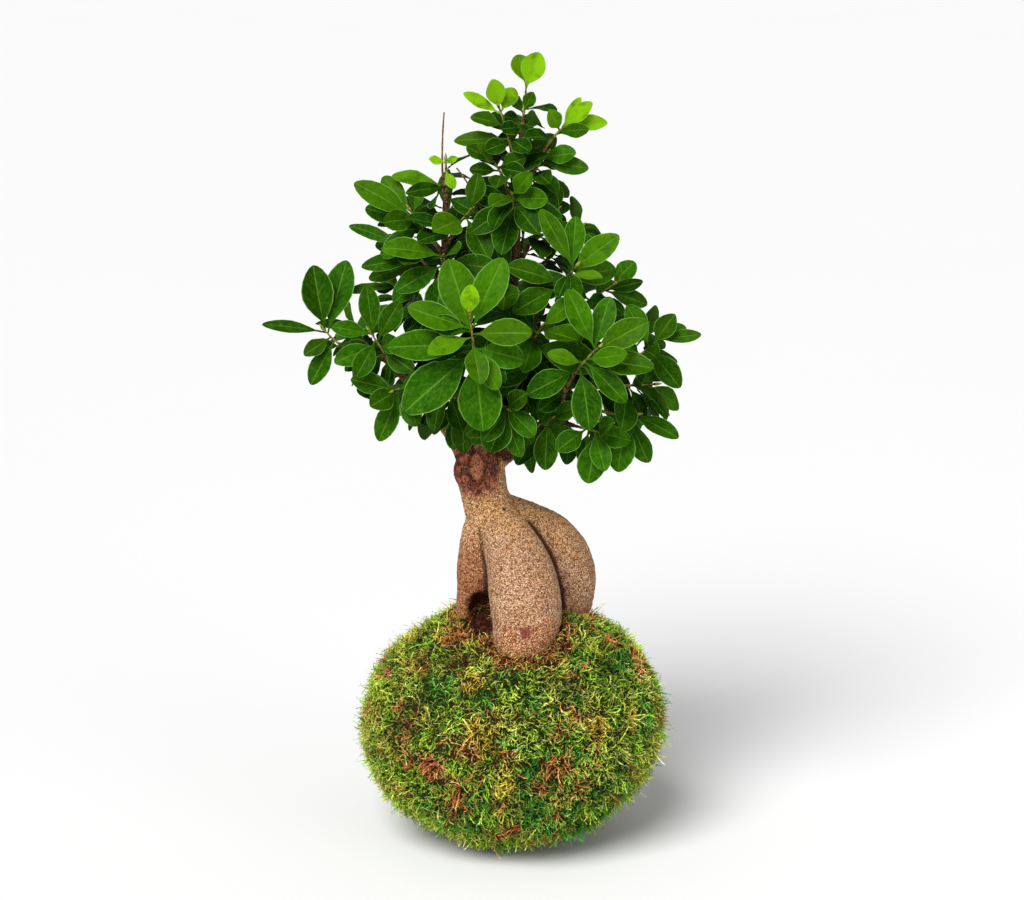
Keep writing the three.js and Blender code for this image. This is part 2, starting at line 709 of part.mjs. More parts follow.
// Every leaf of the crown. One that would run into others however it is turned is left off.
function growLeaves() {
  const stems = [];
  for (const [name, limb] of Object.entries(limbs)) {
    stems.push(...stemPoints(limbCurves[name], limbRadius(limb), 40, ""));
  }
  for (const twig of bareTwigs) stems.push(...stemPoints(bareTwigCurve(twig), () => twig.radius, 10, ""));
  for (const shoot of shoots) stems.push(...stemPoints(shootCurve(shoot), shootRadius, 14, shoot.name));
  const placed = [];
  for (const [number, shoot] of shoots.entries()) {
    const curve = shootCurve(shoot);
    const draw = drawer(1000 + 77 * number);
    const plans = shoot.set
      ? shoot.set.map((leaf) => setLeaf(shoot, curve, leaf))
      : Array.from({ length: shoot.leaves }, (unused, index) => grownLeaf(shoot, curve, index, draw));
    for (const plan of plans) {
      const fitted = fitLeaf(plan, shoot.name, placed, stems);
      if (fitted) placed.push(fitted);
    }
  }
  return placed;
}

// A leaf as a thin solid: a grid on its middle surface, thickened to both sides and closed round its rim.
function leafSolid(leaf) {
  const rows = blade.stations.length - 1;
  const columns = 2;
  const grid = new THREE.PlaneGeometry(1, 1, columns, rows);
  const place = grid.getAttribute("position");
  const count = place.count;
  const points = [];
  for (const level of [1, -1]) {
    for (let i = 0; i < count; i++) {
      const row = Math.round((0.5 - place.getY(i)) * rows);
      const side = blade.sides[row][Math.round((place.getX(i) + 0.5) * columns)];
      const half = (row === 0 ? blade.rootThickness : blade.thickness) / 2;
      const point = leafPoint(leaf, blade.stations[row], side).addScaledVector(leaf.face, level * half);
      points.push(...point.toArray());
    }
  }
  const faces = [];
  const upper = grid.getIndex().array;
  for (let i = 0; i < upper.length; i += 3) {
    const [a, b, c] = upper.slice(i, i + 3);
    faces.push(a, b, c, count + a, count + c, count + b);
  }
  const rim = [];
  for (let i = 0; i < columns; i++) rim.push(i);
  for (let i = 0; i < rows; i++) rim.push(columns + i * (columns + 1));
  for (let i = columns; i > 0; i--) rim.push(rows * (columns + 1) + i);
  for (let i = rows; i > 0; i--) rim.push(i * (columns + 1));
  rim.forEach((a, i) => {
    const b = rim[(i + 1) % rim.length];
    faces.push(a, b, count + a, b, count + b, count + a);
  });
  const geometry = new THREE.BufferGeometry();
  geometry.setAttribute("position", new THREE.BufferAttribute(new Float32Array(points), 3));
  geometry.setIndex(faces);
  return toSolid(geometry);
}

// The bare wood at the foot of each shoot belongs to the trunk, and the leafy rest is a piece of its own.
function twigSolid(shoot) {
  const curve = stretch(shootCurve(shoot), 0, shoot.wood);
  const thick = twigRadius + 0.5;
  return bentTube(curve, (t) => thick + (twigRadius - thick) * t, ...tubeFaces.twig);
}

function shootSolid(shoot, leaves) {
  const whole = shootCurve(shoot);
  const skipped = seat / bezierSlope(whole, shoot.wood).length();
  const stem = bentTube(stretch(whole, shoot.wood + skipped, 1), shootRadius, ...tubeFaces.stem);
  return leaves.map(leafSolid).reduce((all, leaf) => all.add(leaf), stem);
}

function limbSolid(name) {
  return bentTube(limbCurves[name], limbRadius(limbs[name]), ...tubeFaces.limb);
}

function bareTwigCurve(twig) {
  return new THREE.QuadraticBezierCurve3(limbCurves[twig.limb].getPoint(twig.at), ...twig.curve.map(vector));
}

function bareTwigSolid(twig) {
  return bentTube(bareTwigCurve(twig), (t) => twig.radius * (1 - 0.4 * t), ...tubeFaces.bareTwig);
}

function trunkSolid() {
  const branches = [
    ...Object.keys(limbs).map(limbSolid),
    ...shoots.map(twigSolid),
    ...bareTwigs.map(bareTwigSolid),
  ];
  return branches.reduce((all, branch) => all.add(branch), addScar(rootStock(0)));
}

// A lumpy, slightly leaning oval: the moss's outside at inset 0, and the soil's inside it.
function ballSolid(inset, lumpHeight, [across, down]) {
  const oval = new THREE.SphereGeometry(1, across, down).rotateX(Math.PI / 2);
  const place = oval.getAttribute("position");
  const toward = new THREE.Vector3();
  for (let i = 0; i < place.count; i++) {
    toward.fromBufferAttribute(place, i);
    const lump =
      Math.sin(5.3 * toward.x + 1.7) * Math.sin(4.7 * toward.y + 0.4) * Math.sin(6.1 * toward.z + 2.1) +
      0.5 * Math.sin(9.1 * toward.x + 0.3) * Math.sin(8.3 * toward.y + 1.9);
    const radius = ball.radius - inset + lumpHeight * lump;
    const height = ball.halfHeight - inset + lumpHeight * lump;
    place.setXYZ(i, toward.x * radius, toward.y * radius, toward.z * height);
  }
  oval.rotateY(ball.tilt).translate(0, 0, ball.halfHeight - ball.flatDepth);
  return toSolid(oval);
}

function halfSpaceBelow(height) {
  const size = 4 * ball.radius;
  return toSolid(new THREE.BoxGeometry(size, size, size).translate(0, 0, height - size / 2));
}

const soilFloor = ball.mossThickness - ball.flatDepth;
const held = rootStock(seat);
const soil = ballSolid(ball.mossThickness, 0, ball.soilGrid)
  .subtract(halfSpaceBelow(soilFloor))
  .subtract(held);
const soilSpace = ballSolid(ball.mossThickness - seat, 0, ball.soilGrid)
  .subtract(halfSpaceBelow(soilFloor - seat));
const moss = ballSolid(0, ball.lumpHeight, ball.mossGrid)
  .subtract(halfSpaceBelow(0))
  .subtract(soilSpace)
  .subtract(held);

const leaves = growLeaves();
const kokedama = new THREE.Group();
kokedama.add(toMesh("moss_wrap", moss, materials.moss));
kokedama.add(toMesh("soil_ball", soil, materials.soil));
kokedama.add(toMesh("trunk", trunkSolid(), materials.bark));
for (const shoot of shoots) {
  const own = leaves.filter((entry) => entry.shoot === shoot.name).map((entry) => entry.leaf);
  kokedama.add(toMesh(shoot.name, shootSolid(shoot, own), materials.leaf));
}

export default kokedama;
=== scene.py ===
# A small fig with swollen roots, growing from a ball of moss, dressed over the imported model.
# Metres, +Z up, and the front faces -Y. Lengths in the settings are in millimetres.
import math

import bpy
import numpy as np
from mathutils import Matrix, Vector


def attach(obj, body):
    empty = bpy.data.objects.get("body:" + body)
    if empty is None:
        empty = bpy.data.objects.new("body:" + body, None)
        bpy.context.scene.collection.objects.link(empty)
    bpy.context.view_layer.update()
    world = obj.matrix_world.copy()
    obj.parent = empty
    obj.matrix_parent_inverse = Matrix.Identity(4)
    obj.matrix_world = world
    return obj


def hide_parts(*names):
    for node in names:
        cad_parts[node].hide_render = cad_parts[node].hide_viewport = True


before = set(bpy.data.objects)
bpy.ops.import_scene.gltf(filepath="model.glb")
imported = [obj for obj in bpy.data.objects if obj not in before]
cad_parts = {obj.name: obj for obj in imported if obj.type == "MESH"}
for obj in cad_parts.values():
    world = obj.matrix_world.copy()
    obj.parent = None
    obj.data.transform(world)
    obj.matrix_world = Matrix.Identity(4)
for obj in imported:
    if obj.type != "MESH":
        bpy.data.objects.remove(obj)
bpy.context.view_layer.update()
mm = 0.001


# Selection, meshes and numbers
def clearSelection():
    bpy.ops.object.select_all(action="DESELECT")


def editMode(kind):
    bpy.ops.object.mode_set(mode="EDIT")
    bpy.ops.mesh.select_mode(type=kind)


def objectMode():
    bpy.ops.object.mode_set(mode="OBJECT")


def takeNew(name):
    piece = bpy.context.active_object
    piece.name = name
    piece.data.name = name
    return piece


def pointsOf(mesh, kind="co"):
    flat = np.empty(len(mesh.vertices) * 3)
    mesh.vertices.foreach_get(kind, flat)
    return flat.reshape(-1, 3)


def movePoints(mesh, points):
    mesh.vertices.foreach_set("co", np.asarray(points, dtype=np.float32).ravel())
    mesh.update()


# Selects the vertices that a rule picks by their places, and what lies between them, and stays in edit mode.
def selectWhere(piece, rule, kind="VERT"):
    editMode(kind)
    bpy.ops.mesh.select_all(action="DESELECT")
    objectMode()
    wanted = rule(pointsOf(piece.data))
    mesh = piece.data
    for vertex in mesh.vertices:
        vertex.select = bool(wanted[vertex.index])
    for part in (*mesh.edges, *mesh.polygons):
        part.select = all(wanted[i] for i in part.vertices)
    bpy.ops.object.mode_set(mode="EDIT")


def applyModifier(piece, kind, **settings):
    clearSelection()
    piece.select_set(True)
    bpy.context.view_layer.objects.active = piece
    added = piece.modifiers.new(kind.title(), kind)
    for key, value in settings.items():
        setattr(added, key, value)
    bpy.ops.object.modifier_apply(modifier=added.name)


def joinPieces(parts, name):
    clearSelection()
    for part in parts:
        part.select_set(True)
    bpy.context.view_layer.objects.active = parts[0]
    bpy.ops.object.join()
    return takeNew(name)


# Gives each vertex or face some named numbers. A single number goes to all of them.
def addNumbers(mesh, domain="POINT", **named):
    count = len(mesh.vertices if domain == "POINT" else mesh.polygons)
    for name, values in named.items():
        made = mesh.attributes.new(name, "FLOAT", domain)
        made.data.foreach_set("value", np.broadcast_to(values, count).astype(np.float32))


def addObject(name, mesh):
    made = bpy.data.objects.new(name, mesh)
    bpy.context.scene.collection.objects.link(made)
    return made


def paintWith(piece, material):
    piece.data.materials.clear()
    piece.data.materials.append(material)


def unit(vector):
    return vector / np.linalg.norm(vector)


def lengths(rows):
    return np.linalg.norm(rows, axis=1)


def unitRows(rows):
    return rows / np.maximum(np.linalg.norm(rows, axis=-1, keepdims=True), 1e-12)


def between(ends, share):
    return ends[0] + (ends[1] - ends[0]) * share


def smoothStep(low, high, value):
    share = np.clip((value - low) / (high - low), 0, 1)
    return share * share * (3 - 2 * share)


# A soft bumpy field, from about -1 to 1, that is the same on every run: crossed waves of nearly one size.
def ripple(points, size, seed):
    waves = 7
    draw = np.random.default_rng(seed)
    total = np.zeros(len(points))
    for _ in range(waves):
        way = unit(draw.normal(size=3)) * draw.uniform(0.7, 1.5) * 2 * math.pi / size
        total += np.sin(points @ way + draw.uniform(0, 2 * math.pi))
    return total / 4


# A material and its nodes. Its paint is the colour so far, which further layers cover.
class Recipe:
    def __init__(self, name, colours=None):
        self.material = bpy.data.materials.new(name)
        self.material.use_nodes = True
        self.tree = self.material.node_tree
        self.shader = self.tree.nodes["Principled BSDF"]
        self.coordinates = self.add("TexCoord", "Object", {})
        self.colours = colours

    def link(self, value, socket):
        if isinstance(value, bpy.types.NodeSocket):
            self.tree.links.new(value, socket)
        else:
            socket.default_value = value

    def add(self, kind, output, inputs, **settings):
        node = self.tree.nodes.new("ShaderNode" + kind)
        for key, value in settings.items():
            setattr(node, key, value)
        for key, value in inputs.items():
            self.link(value, node.inputs[key])
        return node.outputs[output]

    def set(self, **values):
        for key, value in values.items():
            self.link(value, self.shader.inputs[key.replace("_", " ")])

    def math(self, operation, a, b=0.0, clamp=False):
        return self.add("Math", 0, {0: a, 1: b}, operation=operation, use_clamp=clamp)

    def times(self, a, b):
        return self.math("MULTIPLY", a, b)

    def plus(self, a, b, clamp=False):
        return self.math("ADD", a, b, clamp)

    def number(self, name):
        return self.add("Attribute", "Fac", {}, attribute_name=name)

    def stretched(self, x, y, z):
        return self.add("Mapping", 0, {"Scale": (x, y, z), "Vector": self.coordinates})

    def noise(self, scale, detail=2.0, roughness=0.5, at=None, distortion=0.0):
        inputs = {"Vector": at or self.coordinates, "Scale": scale, "Detail": detail}
        inputs |= {"Roughness": roughness, "Distortion": distortion}
        return self.add("TexNoise", "Fac", inputs)

    def cells(self, scale, at):
        return self.add("TexVoronoi", "Distance", {"Vector": at, "Scale": scale})

    # The coordinates, pushed about by small swirls.
    def warped(self, scale, push):
        swirls = self.add("TexNoise", "Color", {"Vector": self.coordinates, "Scale": scale})
        inputs = {0: swirls, 1: (push, push, push), 2: self.coordinates}
        return self.add("VectorMath", 0, inputs, operation="MULTIPLY_ADD")

    # From 0 to 1 as a value goes from low to high.
    def fade(self, value, low, high):
        inputs = {"Value": value, "From Min": low, "From Max": high}
        return self.add("MapRange", "Result", inputs, interpolation_type="SMOOTHSTEP")

    # A colour from its name, its values or another node.
    def tint(self, colour):
        if isinstance(colour, bpy.types.NodeSocket):
            return colour
        return (*(self.colours[colour] if isinstance(colour, str) else colour), 1)

    def mix(self, share, a, b, blend="MIX"):
        inputs = {"Factor": share, "A": self.tint(a), "B": self.tint(b)}
        return self.add("Mix", "Result", inputs, data_type="RGBA", blend_type=blend)

    def cover(self, share, colour, amount=None):
        if amount is not None:
            share = self.times(share, amount)
        self.paint = self.mix(share, self.paint, colour)

    def bump(self, height, strength, distance):
        inputs = {"Height": height, "Strength": strength, "Distance": distance}
        self.link(self.add("Bump", "Normal", inputs), self.shader.inputs["Normal"])


# Lines that pieces follow
def hermite(start, end, leaving, arriving, t):
    return (
        start + leaving * t + (3 * (end - start) - 2 * leaving - arriving) * t * t
        + (2 * (start - end) + leaving + arriving) * t ** 3
    )


# The four values round each of some even places on a line, and how far each place is past the second of them.
def spansOf(padded, count):
    spans = len(padded) - 3
    for share in np.linspace(0, spans, count):
        at = min(int(share), spans - 1)
        yield (*padded[at:at + 4], share - at)


def smoothLine(points, count):
    points = np.array(points, dtype=float)
    padded = np.vstack([2 * points[0] - points[1], points, 2 * points[-1] - points[-2]])
    made = []
    for before, start, end, after, t in spansOf(padded, count):
        d0, d1, d2 = (np.linalg.norm(b - a) ** 0.5 for a, b in ((before, start), (start, end), (end, after)))
        leaving = ((start - before) / d0 - (end - before) / (d0 + d1) + (end - start) / d1) * d1
        arriving = ((end - start) / d1 - (after - start) / (d1 + d2) + (after - end) / d2) * d1
        made.append(hermite(start, end, leaving, arriving, t))
    return np.array(made)


def smoothWidths(widths, count):
    padded = np.array([widths[0], *widths, widths[-1]], dtype=float)
    return np.array([
        hermite(start, end, (end - before) / 2, (after - start) / 2, t)
        for before, start, end, after, t in spansOf(padded, count)
    ])


def curvePoint(curve, t):
    start, pull, end = (np.array(point, dtype=float) for point in curve)
    t = np.asarray(t, dtype=float)[..., None]
    return start * (1 - t) ** 2 + pull * 2 * t * (1 - t) + end * t * t


def curveSlope(curve, t):
    start, pull, end = (np.array(point, dtype=float) for point in curve)
    return (pull - start) * 2 * (1 - t) + (end - pull) * 2 * t


# A closed round tube: a cylinder cut into rings, which are then laid along a path.
def addTube(name, path, radii, sides):
    steps = len(path) - 1
    clearSelection()
    bpy.ops.mesh.primitive_cylinder_add(vertices=sides, radius=1, depth=1, end_fill_type="NGON")
    tube = takeNew(name)
    editMode("EDGE")
    bpy.ops.mesh.select_all(action="DESELECT")
    objectMode()
    heights = pointsOf(tube.data)[:, 2]
    for edge in tube.data.edges:
        edge.select = bool(heights[edge.vertices[0]] != heights[edge.vertices[1]])
    editMode("EDGE")
    bpy.ops.mesh.subdivide(number_cuts=steps - 1)
    objectMode()
    points = pointsOf(tube.data)
    ring = np.rint((0.5 - points[:, 2]) * steps).astype(int)
    ahead = unitRows(np.gradient(path, axis=0))
    sideways = [unit(np.cross(ahead[0], (0.3, 1, 0.2)))]
    for way in ahead[1:]:
        sideways.append(unit(sideways[-1] - way * (sideways[-1] @ way)))
    sideways = np.array(sideways)
    upward = np.cross(sideways, ahead)
    spread = sideways[ring] * points[:, :1] + upward[ring] * points[:, 1:2]
    movePoints(tube.data, (path[ring] + spread * np.asarray(radii)[ring][:, None]) * mm)
    return tube


# The bark: swollen roots and neck, each a row of middle points and radii from the top down
rootLines = {
    "neck": [
        (-20, 3, 275, 4), (-21, 3, 268, 12), (-21, 2, 257, 15.5), (-20, 1, 245, 16), (-17.5, 0, 232, 15.5),
        (-12, -2, 217, 17), (-5, -4, 200, 15),
    ],
    "left": [
        (-15, 0, 228, 12), (-19, -1, 214, 12), (-22, -2, 202, 12), (-22.5, -3, 188, 13.5),
        (-24, -3, 175, 12.5), (-28, -2, 164, 8.5), (-31, -1, 151, 6), (-30, 1, 132, 5.5), (-22, 6, 108, 3),
    ],
    "front": [
        (-11, -5, 228, 10), (-4, -13, 210, 16), (4, -24, 192, 21), (8, -33, 175, 23), (9, -40, 160, 22.5),
        (6, -45, 145, 18.5), (3, -43, 130, 12), (0, -32, 104, 3),
    ],
    "right": [
        (-8, 4, 222, 12), (8, 10, 212, 15), (21, 14, 200, 20), (30, 17, 183, 23.5), (32, 18, 167, 23.5),
        (31, 18, 151, 20.5), (27, 14, 131, 14), (20, 8, 104, 3),
    ],
    "inner": [(-6, 4, 204, 10), (-9, 12, 184, 12), (-12, 15, 164, 12), (-10, 14, 144, 9), (-6, 8, 120, 3)],
}
rootRings = 61  # along each root

# Woody limbs: start, pull and end of each curve, and the radii at its ends.
limbLines = {
    "right": ([-13, 3, 256], [2, 11, 334], [5, 3, 462], 6, 1.7),
    "left": ([-27, 2, 256], [-47, 7, 334], [-42, -2, 432], 5.6, 1.7),
    "front": ([-20, -5, 256], [-20, -26, 293], [-23, -58, 324], 5, 1.8),
    "rightLow": ([-12, -1, 254], [20, -8, 276], [55, -18, 311], 5.4, 2),
    "leftLow": ([-29, 1, 254], [-48, -4, 292], [-83, -6, 325], 5, 1.8),
    "back": ([-20, 8, 258], [-14, 44, 284], [-4, 66, 342], 5.2, 1.8),
}
# Bare twigs: the limb and where they leave it, the pull and the tip of their curve, and their radius.
bareTwigs = [
    ("left", 0.94, [-46, 1, 448], [-43, -2, 482], 0.9),
    ("right", 0.62, [-23, -12, 435], [-35, -14, 448], 0.9),
]

# Each leafy shoot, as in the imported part: its name, the limb and where it leaves it, the pull and the tip of
# its curve, and the share of it that is bare wood. Then come its set leaves, each with its place, its reach
# from root to tip, its width and how young it is, from 0 for dark and leathery to 1 for fresh yellow-green.
# Or there are the number of leaves that grow on it by rule, their length, where the first one turns and how
# much they hang.
shootKeys = ("name", "limb", "at", "pull", "tip", "wood", "leaves", "length", "turn", "hang")
shootRows = [
    ("shoot_front_rosette", "front", 1, [-23, -66, 337], [-26, -84, 366], 0.2, [
        (0.96, 0, -9, 20, 12, 1), (0.6, -14, 4, 49, 24, 0.3), (0.74, 17, -3, 45, 21, 0.28),
        (0.76, -37, -10, 15, 18, 0.3), (0.46, -51, -16, 4, 20, 0.2), (0.62, -26, -20, -2, 14, 0.55),
        (0.68, 35, -13, 4, 18, 0.35), (0.42, 32, -2, -6, 18, 0.2), (0.34, -42, -20, -32, 29, 0.12),
        (0.52, 4, -22, -19, 15, 0.3), (0.44, 15, -17, -22, 14, 0.35), (0.28, 6, -12, -46, 28, 0.16)
    ]),
    ("shoot_top", "right", 1, [8, 2, 480], [9, 0, 500], 0.1, [
        (0.9, 8, -4, 23, 16, 0.95), (0.96, -4, 5, 20, 14, 0.6), (0.5, 5, -7, 12, 9, 0.3),
        (0.44, -6, -6, 13, 9, 0.3), (0.16, 9, 5, 9, 11, 0.1), (0.3, -13, 6, 4, 9, 0.1),
        (0.12, -14, -8, -9, 10, 0.1)
    ]),
    ("shoot_top_left", "right", 0.9, [-2, -4, 468], [-8, -8, 485], 0.25, [
        (0.97, -4, -7, 18, 13, 0.85), (0.9, 8, 5, 16, 12, 0.8), (0.86, -23, -5, 14, 8, 0.95),
        (0.6, -20, -10, 9, 11, 0.25), (0.35, -34, -5, 2, 11, 0.3), (0.45, -8, 16, 14, 12, 0.1),
        (0.3, -14, -18, -2, 12, 0.1)
    ]),
    ("shoot_top_right", "right", 0.86, [20, -2, 463], [34, -4, 474], 0.45, [
        (0.9, 17, -8, 16, 11, 0.95), (0.97, 25, -8, 5, 10, 0.9), (0.7, 18, -11, 2, 10, 0.2),
        (0.75, -5, -10, 13, 11, 0.5), (0.85, 11, 2, 20, 7, 1), (0.6, 18, 14, 6, 12, 0.1)
    ]),
    ("shoot_upper_left", "right", 0.8, [-6, -6, 447], [-13, -10, 453], 0.3, [
        (0.95, -15, -8, 10, 10, 0.2), (0.75, -6, -13, 16, 12, 0.35), (0.6, 16, -12, 8, 12, 0.2),
        (0.5, -20, 4, 1, 10, 0.1), (0.4, -2, -25, -3, 14, 0.2), (0.25, 8, -14, -16, 14, 0.1)
    ]),
    ("shoot_upper_right", "right", 0.78, [12, -2, 444], [21, -4, 455], 0.42, [
        (0.9, 19, -10, 4, 13, 0.15), (0.7, 30, -8, -2, 12, 0.2), (0.5, 14, -12, -11, 10, 0.1),
        (0.6, 13, 20, 6, 13, 0.1), (0.4, 16, -24, -4, 13, 0.1), (0.2, -4, -22, -14, 14, 0.1)
    ]),
    ("shoot_mid_front", "right", 0.68, [2, -10, 424], [0, -22, 432], 0.4, [
        (0.9, -20, -14, 10, 14, 0.3), (0.7, 20, -16, 8, 14, 0.25), (0.5, -26, -16, -12, 16, 0.1),
        (0.95, 3, -10, 22, 12, 0.3), (0.6, 14, -22, -14, 16, 0.1), (0.4, -8, -24, -22, 17, 0.1)
    ]),
    ("shoot_mid_right", "right", 0.64, [17, 0, 413], [27, -5, 420], 0.3, 6, 30, 130, 0.1),
    ("shoot_left_top", "left", 1, [-42, -3, 444], [-42, -5, 451], 0.1, [
        (0.95, -10, -5, 3, 6, 1), (0.9, 6, -5, 5, 5, 1), (0.6, 5, -7, -10, 7, 0.9),
        (0.02, -33, -5, 10, 13, 0.5)
    ]),
    ("shoot_left_upper", "left", 0.78, [-55, -6, 407], [-64, -10, 420], 0.3, [
        (0.75, -36, -10, 25, 16, 0.3), (0.98, -20, 12, 22, 13, 0.3), (0.6, -37, 9, 9, 14, 0.1),
        (0.7, -18, -24, 4, 15, 0.2), (0.9, 2, 6, 19, 11, 0.2), (0.5, -26, -14, -14, 15, 0.1)
    ]),
    ("shoot_left_middle", "left", 0.66, [-57, -8, 390], [-66, -14, 397], 0.3, [
        (0.9, -40, -14, 15, 9), (0.8, -26, 22, 6, 14), (0.5, -35, -11, -3, 12), (0.4, -35, 3, -13, 11),
        (0.6, -14, -26, -4, 15), (0.2, -20, -16, -20, 15)
    ]),
    ("shoot_between", "left", 0.8, [-35, -10, 412], [-27, -18, 421], 0.42, [
        (0.7, 16, -14, -24, 17, 0.15), (0.95, 8, -4, 24, 13, 0.2), (0.5, -15, -27, 0, 20, 0.35),
        (0.6, 30, 6, -2, 14, 0.1)
    ]),
    ("shoot_left_front", "left", 0.6, [-43, -14, 389], [-43, -28, 394], 0.3, [
        (0.9, -36, -12, 12, 15, 0.35), (0.8, 4, -30, 10, 20, 0.2), (0.6, 34, -12, 4, 16, 0.15),
        (0.5, -30, -12, -14, 16, 0.1), (0.7, 18, -14, -22, 16, 0.2), (0.4, -6, -18, -30, 18, 0.1)
    ]),
    ("shoot_right_rosette", "right", 0.44, [23, -18, 364], [40, -40, 389], 0.4, [
        (0.95, -20, -6, 37, 13, 0.3), (0.85, 26, -12, 26, 17, 0.35), (0.8, 20, -12, 2, 8, 0.5),
        (0.7, 32, 2, 8, 17, 0.25), (0.9, 2, 8, 34, 14, 0.2), (0.6, -32, -10, 14, 17, 0.2),
        (0.5, -26, -24, -8, 17, 0.2), (0.65, 8, -32, -2, 16, 0.2), (0.4, 14, -22, -28, 18, 0.15)
    ]),
    ("shoot_right_front", "rightLow", 0.62, [33, -48, 320], [53, -68, 342], 0.4, [
        (0.95, -17, -6, 38, 16, 0.25), (0.85, 32, -12, 23, 18, 0.3), (0.75, 39, -14, -5, 17, 0.25),
        (0.9, 10, 8, 34, 15, 0.15), (0.6, -20, -14, 8, 10, 0.45), (0.5, 8, -14, -36, 20, 0.1),
        (0.65, 26, -14, -22, 15, 0.15), (0.7, 20, -26, 6, 13, 0.3), (0.45, -32, -8, -14, 18, 0.1)
    ]),
    ("shoot_right_far", "rightLow", 0.95, [75, -16, 321], [94, -14, 339], 0.4, [
        (0.95, 27, -6, 5, 9, 0.25), (0.85, 12, -8, 19, 14, 0.2), (0.75, -14, -10, 26, 16, 0.2),
        (0.7, 20, -14, -22, 15, 0.15), (0.6, 4, -28, 6, 15, 0.15), (0.9, 20, 6, 10, 11, 0.2),
        (0.5, -12, -26, 12, 15, 0.15), (0.55, 14, 26, 8, 15, 0.1)
    ]),
    ("shoot_right_edge", "rightLow", 0.98, [71, -22, 309], [90, -24, 311], 0.4, 8, 37, 140, 0.3),
    ("shoot_right_low", "rightLow", 0.8, [63, -26, 290], [78, -32, 293], 0.4, [
        (0.92, 31, -11, -9, 15), (0.7, -5, -12, -34, 19), (0.6, -20, -16, -20, 14), (0.8, 9, -10, -31, 15),
        (0.5, 14, 18, -20, 15)
    ]),
    ("shoot_right_hanging", "rightLow", 0.6, [43, -30, 284], [55, -38, 283], 0.4, [
        (0.9, -4, -9, -32, 19), (0.8, 9, -13, -22, 14), (0.7, 20, -14, -8, 14), (0.5, -19, -14, -10, 15),
        (0.6, 8, 14, -20, 14), (0.95, 12, -14, 16, 13)
    ]),
    ("shoot_left_far", "leftLow", 1, [-105, -8, 325], [-120, -8, 343], 0.5, [
        (0.98, -8, -5, 42, 21, 0.12), (0.88, 11, 4, 47, 20, 0.12), (0.93, -40, -6, 9, 8, 0.1),
        (0.6, -16, -10, -26, 14, 0.1), (0.5, 20, -12, -3, 12, 0.15), (0.75, -15, -13, -8, 11, 0.2)
    ]),
    ("shoot_left_near", "leftLow", 0.85, [-81, -16, 329], [-90, -22, 344], 0.3, [
        (0.95, -24, -8, 7, 11), (0.85, -4, -4, 33, 14), (0.7, 14, -10, 29, 14), (0.6, -26, -16, -8, 14),
        (0.5, 10, -23, 8, 14), (0.4, 18, -18, -9, 14), (0.75, -10, -20, -19, 14), (0.3, -16, 14, -14, 13)
    ]),
    ("shoot_left_high", "left", 0.42, [-63, 4, 361], [-77, 2, 373], 0.3, 8, 40, 110, 0),
    ("shoot_left_low", "leftLow", 0.6, [-67, -14, 309], [-75, -24, 307], 0.4, [
        (0.9, -27, -10, 8, 14), (0.8, -15, -19, -7, 15), (0.6, -14, -10, -32, 15), (0.5, 10, -18, -18, 15),
        (0.7, 15, -16, 9, 14), (0.45, -8, 14, -22, 14), (0.95, -12, -8, 18, 13)
    ]),
    ("shoot_low_front", "front", 0.6, [-8, -42, 303], [-3, -53, 301], 0.4, [
        (0.9, -9, -9, -27, 20), (0.8, 7, -9, -31, 15), (0.6, -25, -13, -11, 15), (0.7, 19, -16, -13, 15),
        (0.95, 10, -16, 12, 13), (0.45, -17, -6, -24, 14), (0.5, 20, -4, -24, 14)
    ]),
    ("shoot_low_left", "front", 0.5, [-35, -32, 304], [-46, -41, 311], 0.35, [
        (0.9, -22, -10, -12, 14), (0.8, -8, -13, -21, 15), (0.12, 3, -8, -31, 16), (0.6, 13, -16, -16, 14),
        (0.95, -16, -8, 13, 12), (0.5, -19, 8, -12, 13), (0.7, 6, -20, 8, 13)
    ]),
    ("shoot_low_right", "rightLow", 0.3, [15, -24, 285], [24, -34, 291], 0.4, [
        (0.9, -3, -9, -31, 16), (0.7, 10, -13, -23, 15), (0.8, -16, -12, -24, 14), (0.5, 16, -17, -8, 14),
        (0.6, -16, -16, -6, 14), (0.4, 6, -22, 8, 14), (0.95, 18, -10, 10, 12), (0.3, 8, 11, -24, 14)
    ]),
    ("shoot_inner_right", "right", 0.3, [12, -22, 338], [19, -40, 351], 0.4, 8, 42, 95, 0),
    ("shoot_inner", "right", 0.46, [-2, -16, 374], [-4, -34, 384], 0.4, 7, 40, 45, 0),
    ("shoot_right_high", "right", 0.56, [30, 4, 398], [43, 2, 408], 0.4, 7, 29, 50, 0.1),
    ("shoot_right_back", "right", 0.42, [44, 8, 355], [65, 4, 371], 0.4, [
        (0.95, 15, 6, 16, 13), (0.8, 28, -2, -8, 12), (0.7, -2, -10, 27, 14), (0.6, 10, 20, 12, 14),
        (0.5, -16, -14, 12, 14), (0.4, 8, -24, 6, 15), (0.3, 14, 10, -24, 14)
    ]),
    ("shoot_back_low_left", "back", 0.4, [-41, 44, 286], [-64, 56, 303], 0.4, 6, 42, 20, 0.3),
    ("shoot_back_low", "back", 0.6, [-8, 70, 301], [0, 92, 308], 0.4, 6, 42, 70, 0.3),
    ("shoot_back_low_right", "back", 0.4, [20, 44, 286], [51, 60, 297], 0.4, 6, 42, 110, 0.4),
    ("shoot_back_left", "back", 0.8, [-41, 62, 332], [-67, 56, 356], 0.4, 6, 42, 50, 0),
    ("shoot_back_middle", "back", 1, [-6, 78, 353], [-14, 86, 380], 0.3, 7, 42, 0, 0),
    ("shoot_back_right", "back", 0.9, [29, 66, 338], [53, 70, 359], 0.4, 6, 42, 90, 0),
    ("shoot_back_side", "rightLow", 0.7, [64, 14, 310], [85, 36, 329], 0.4, 6, 40, 60, 0.1),
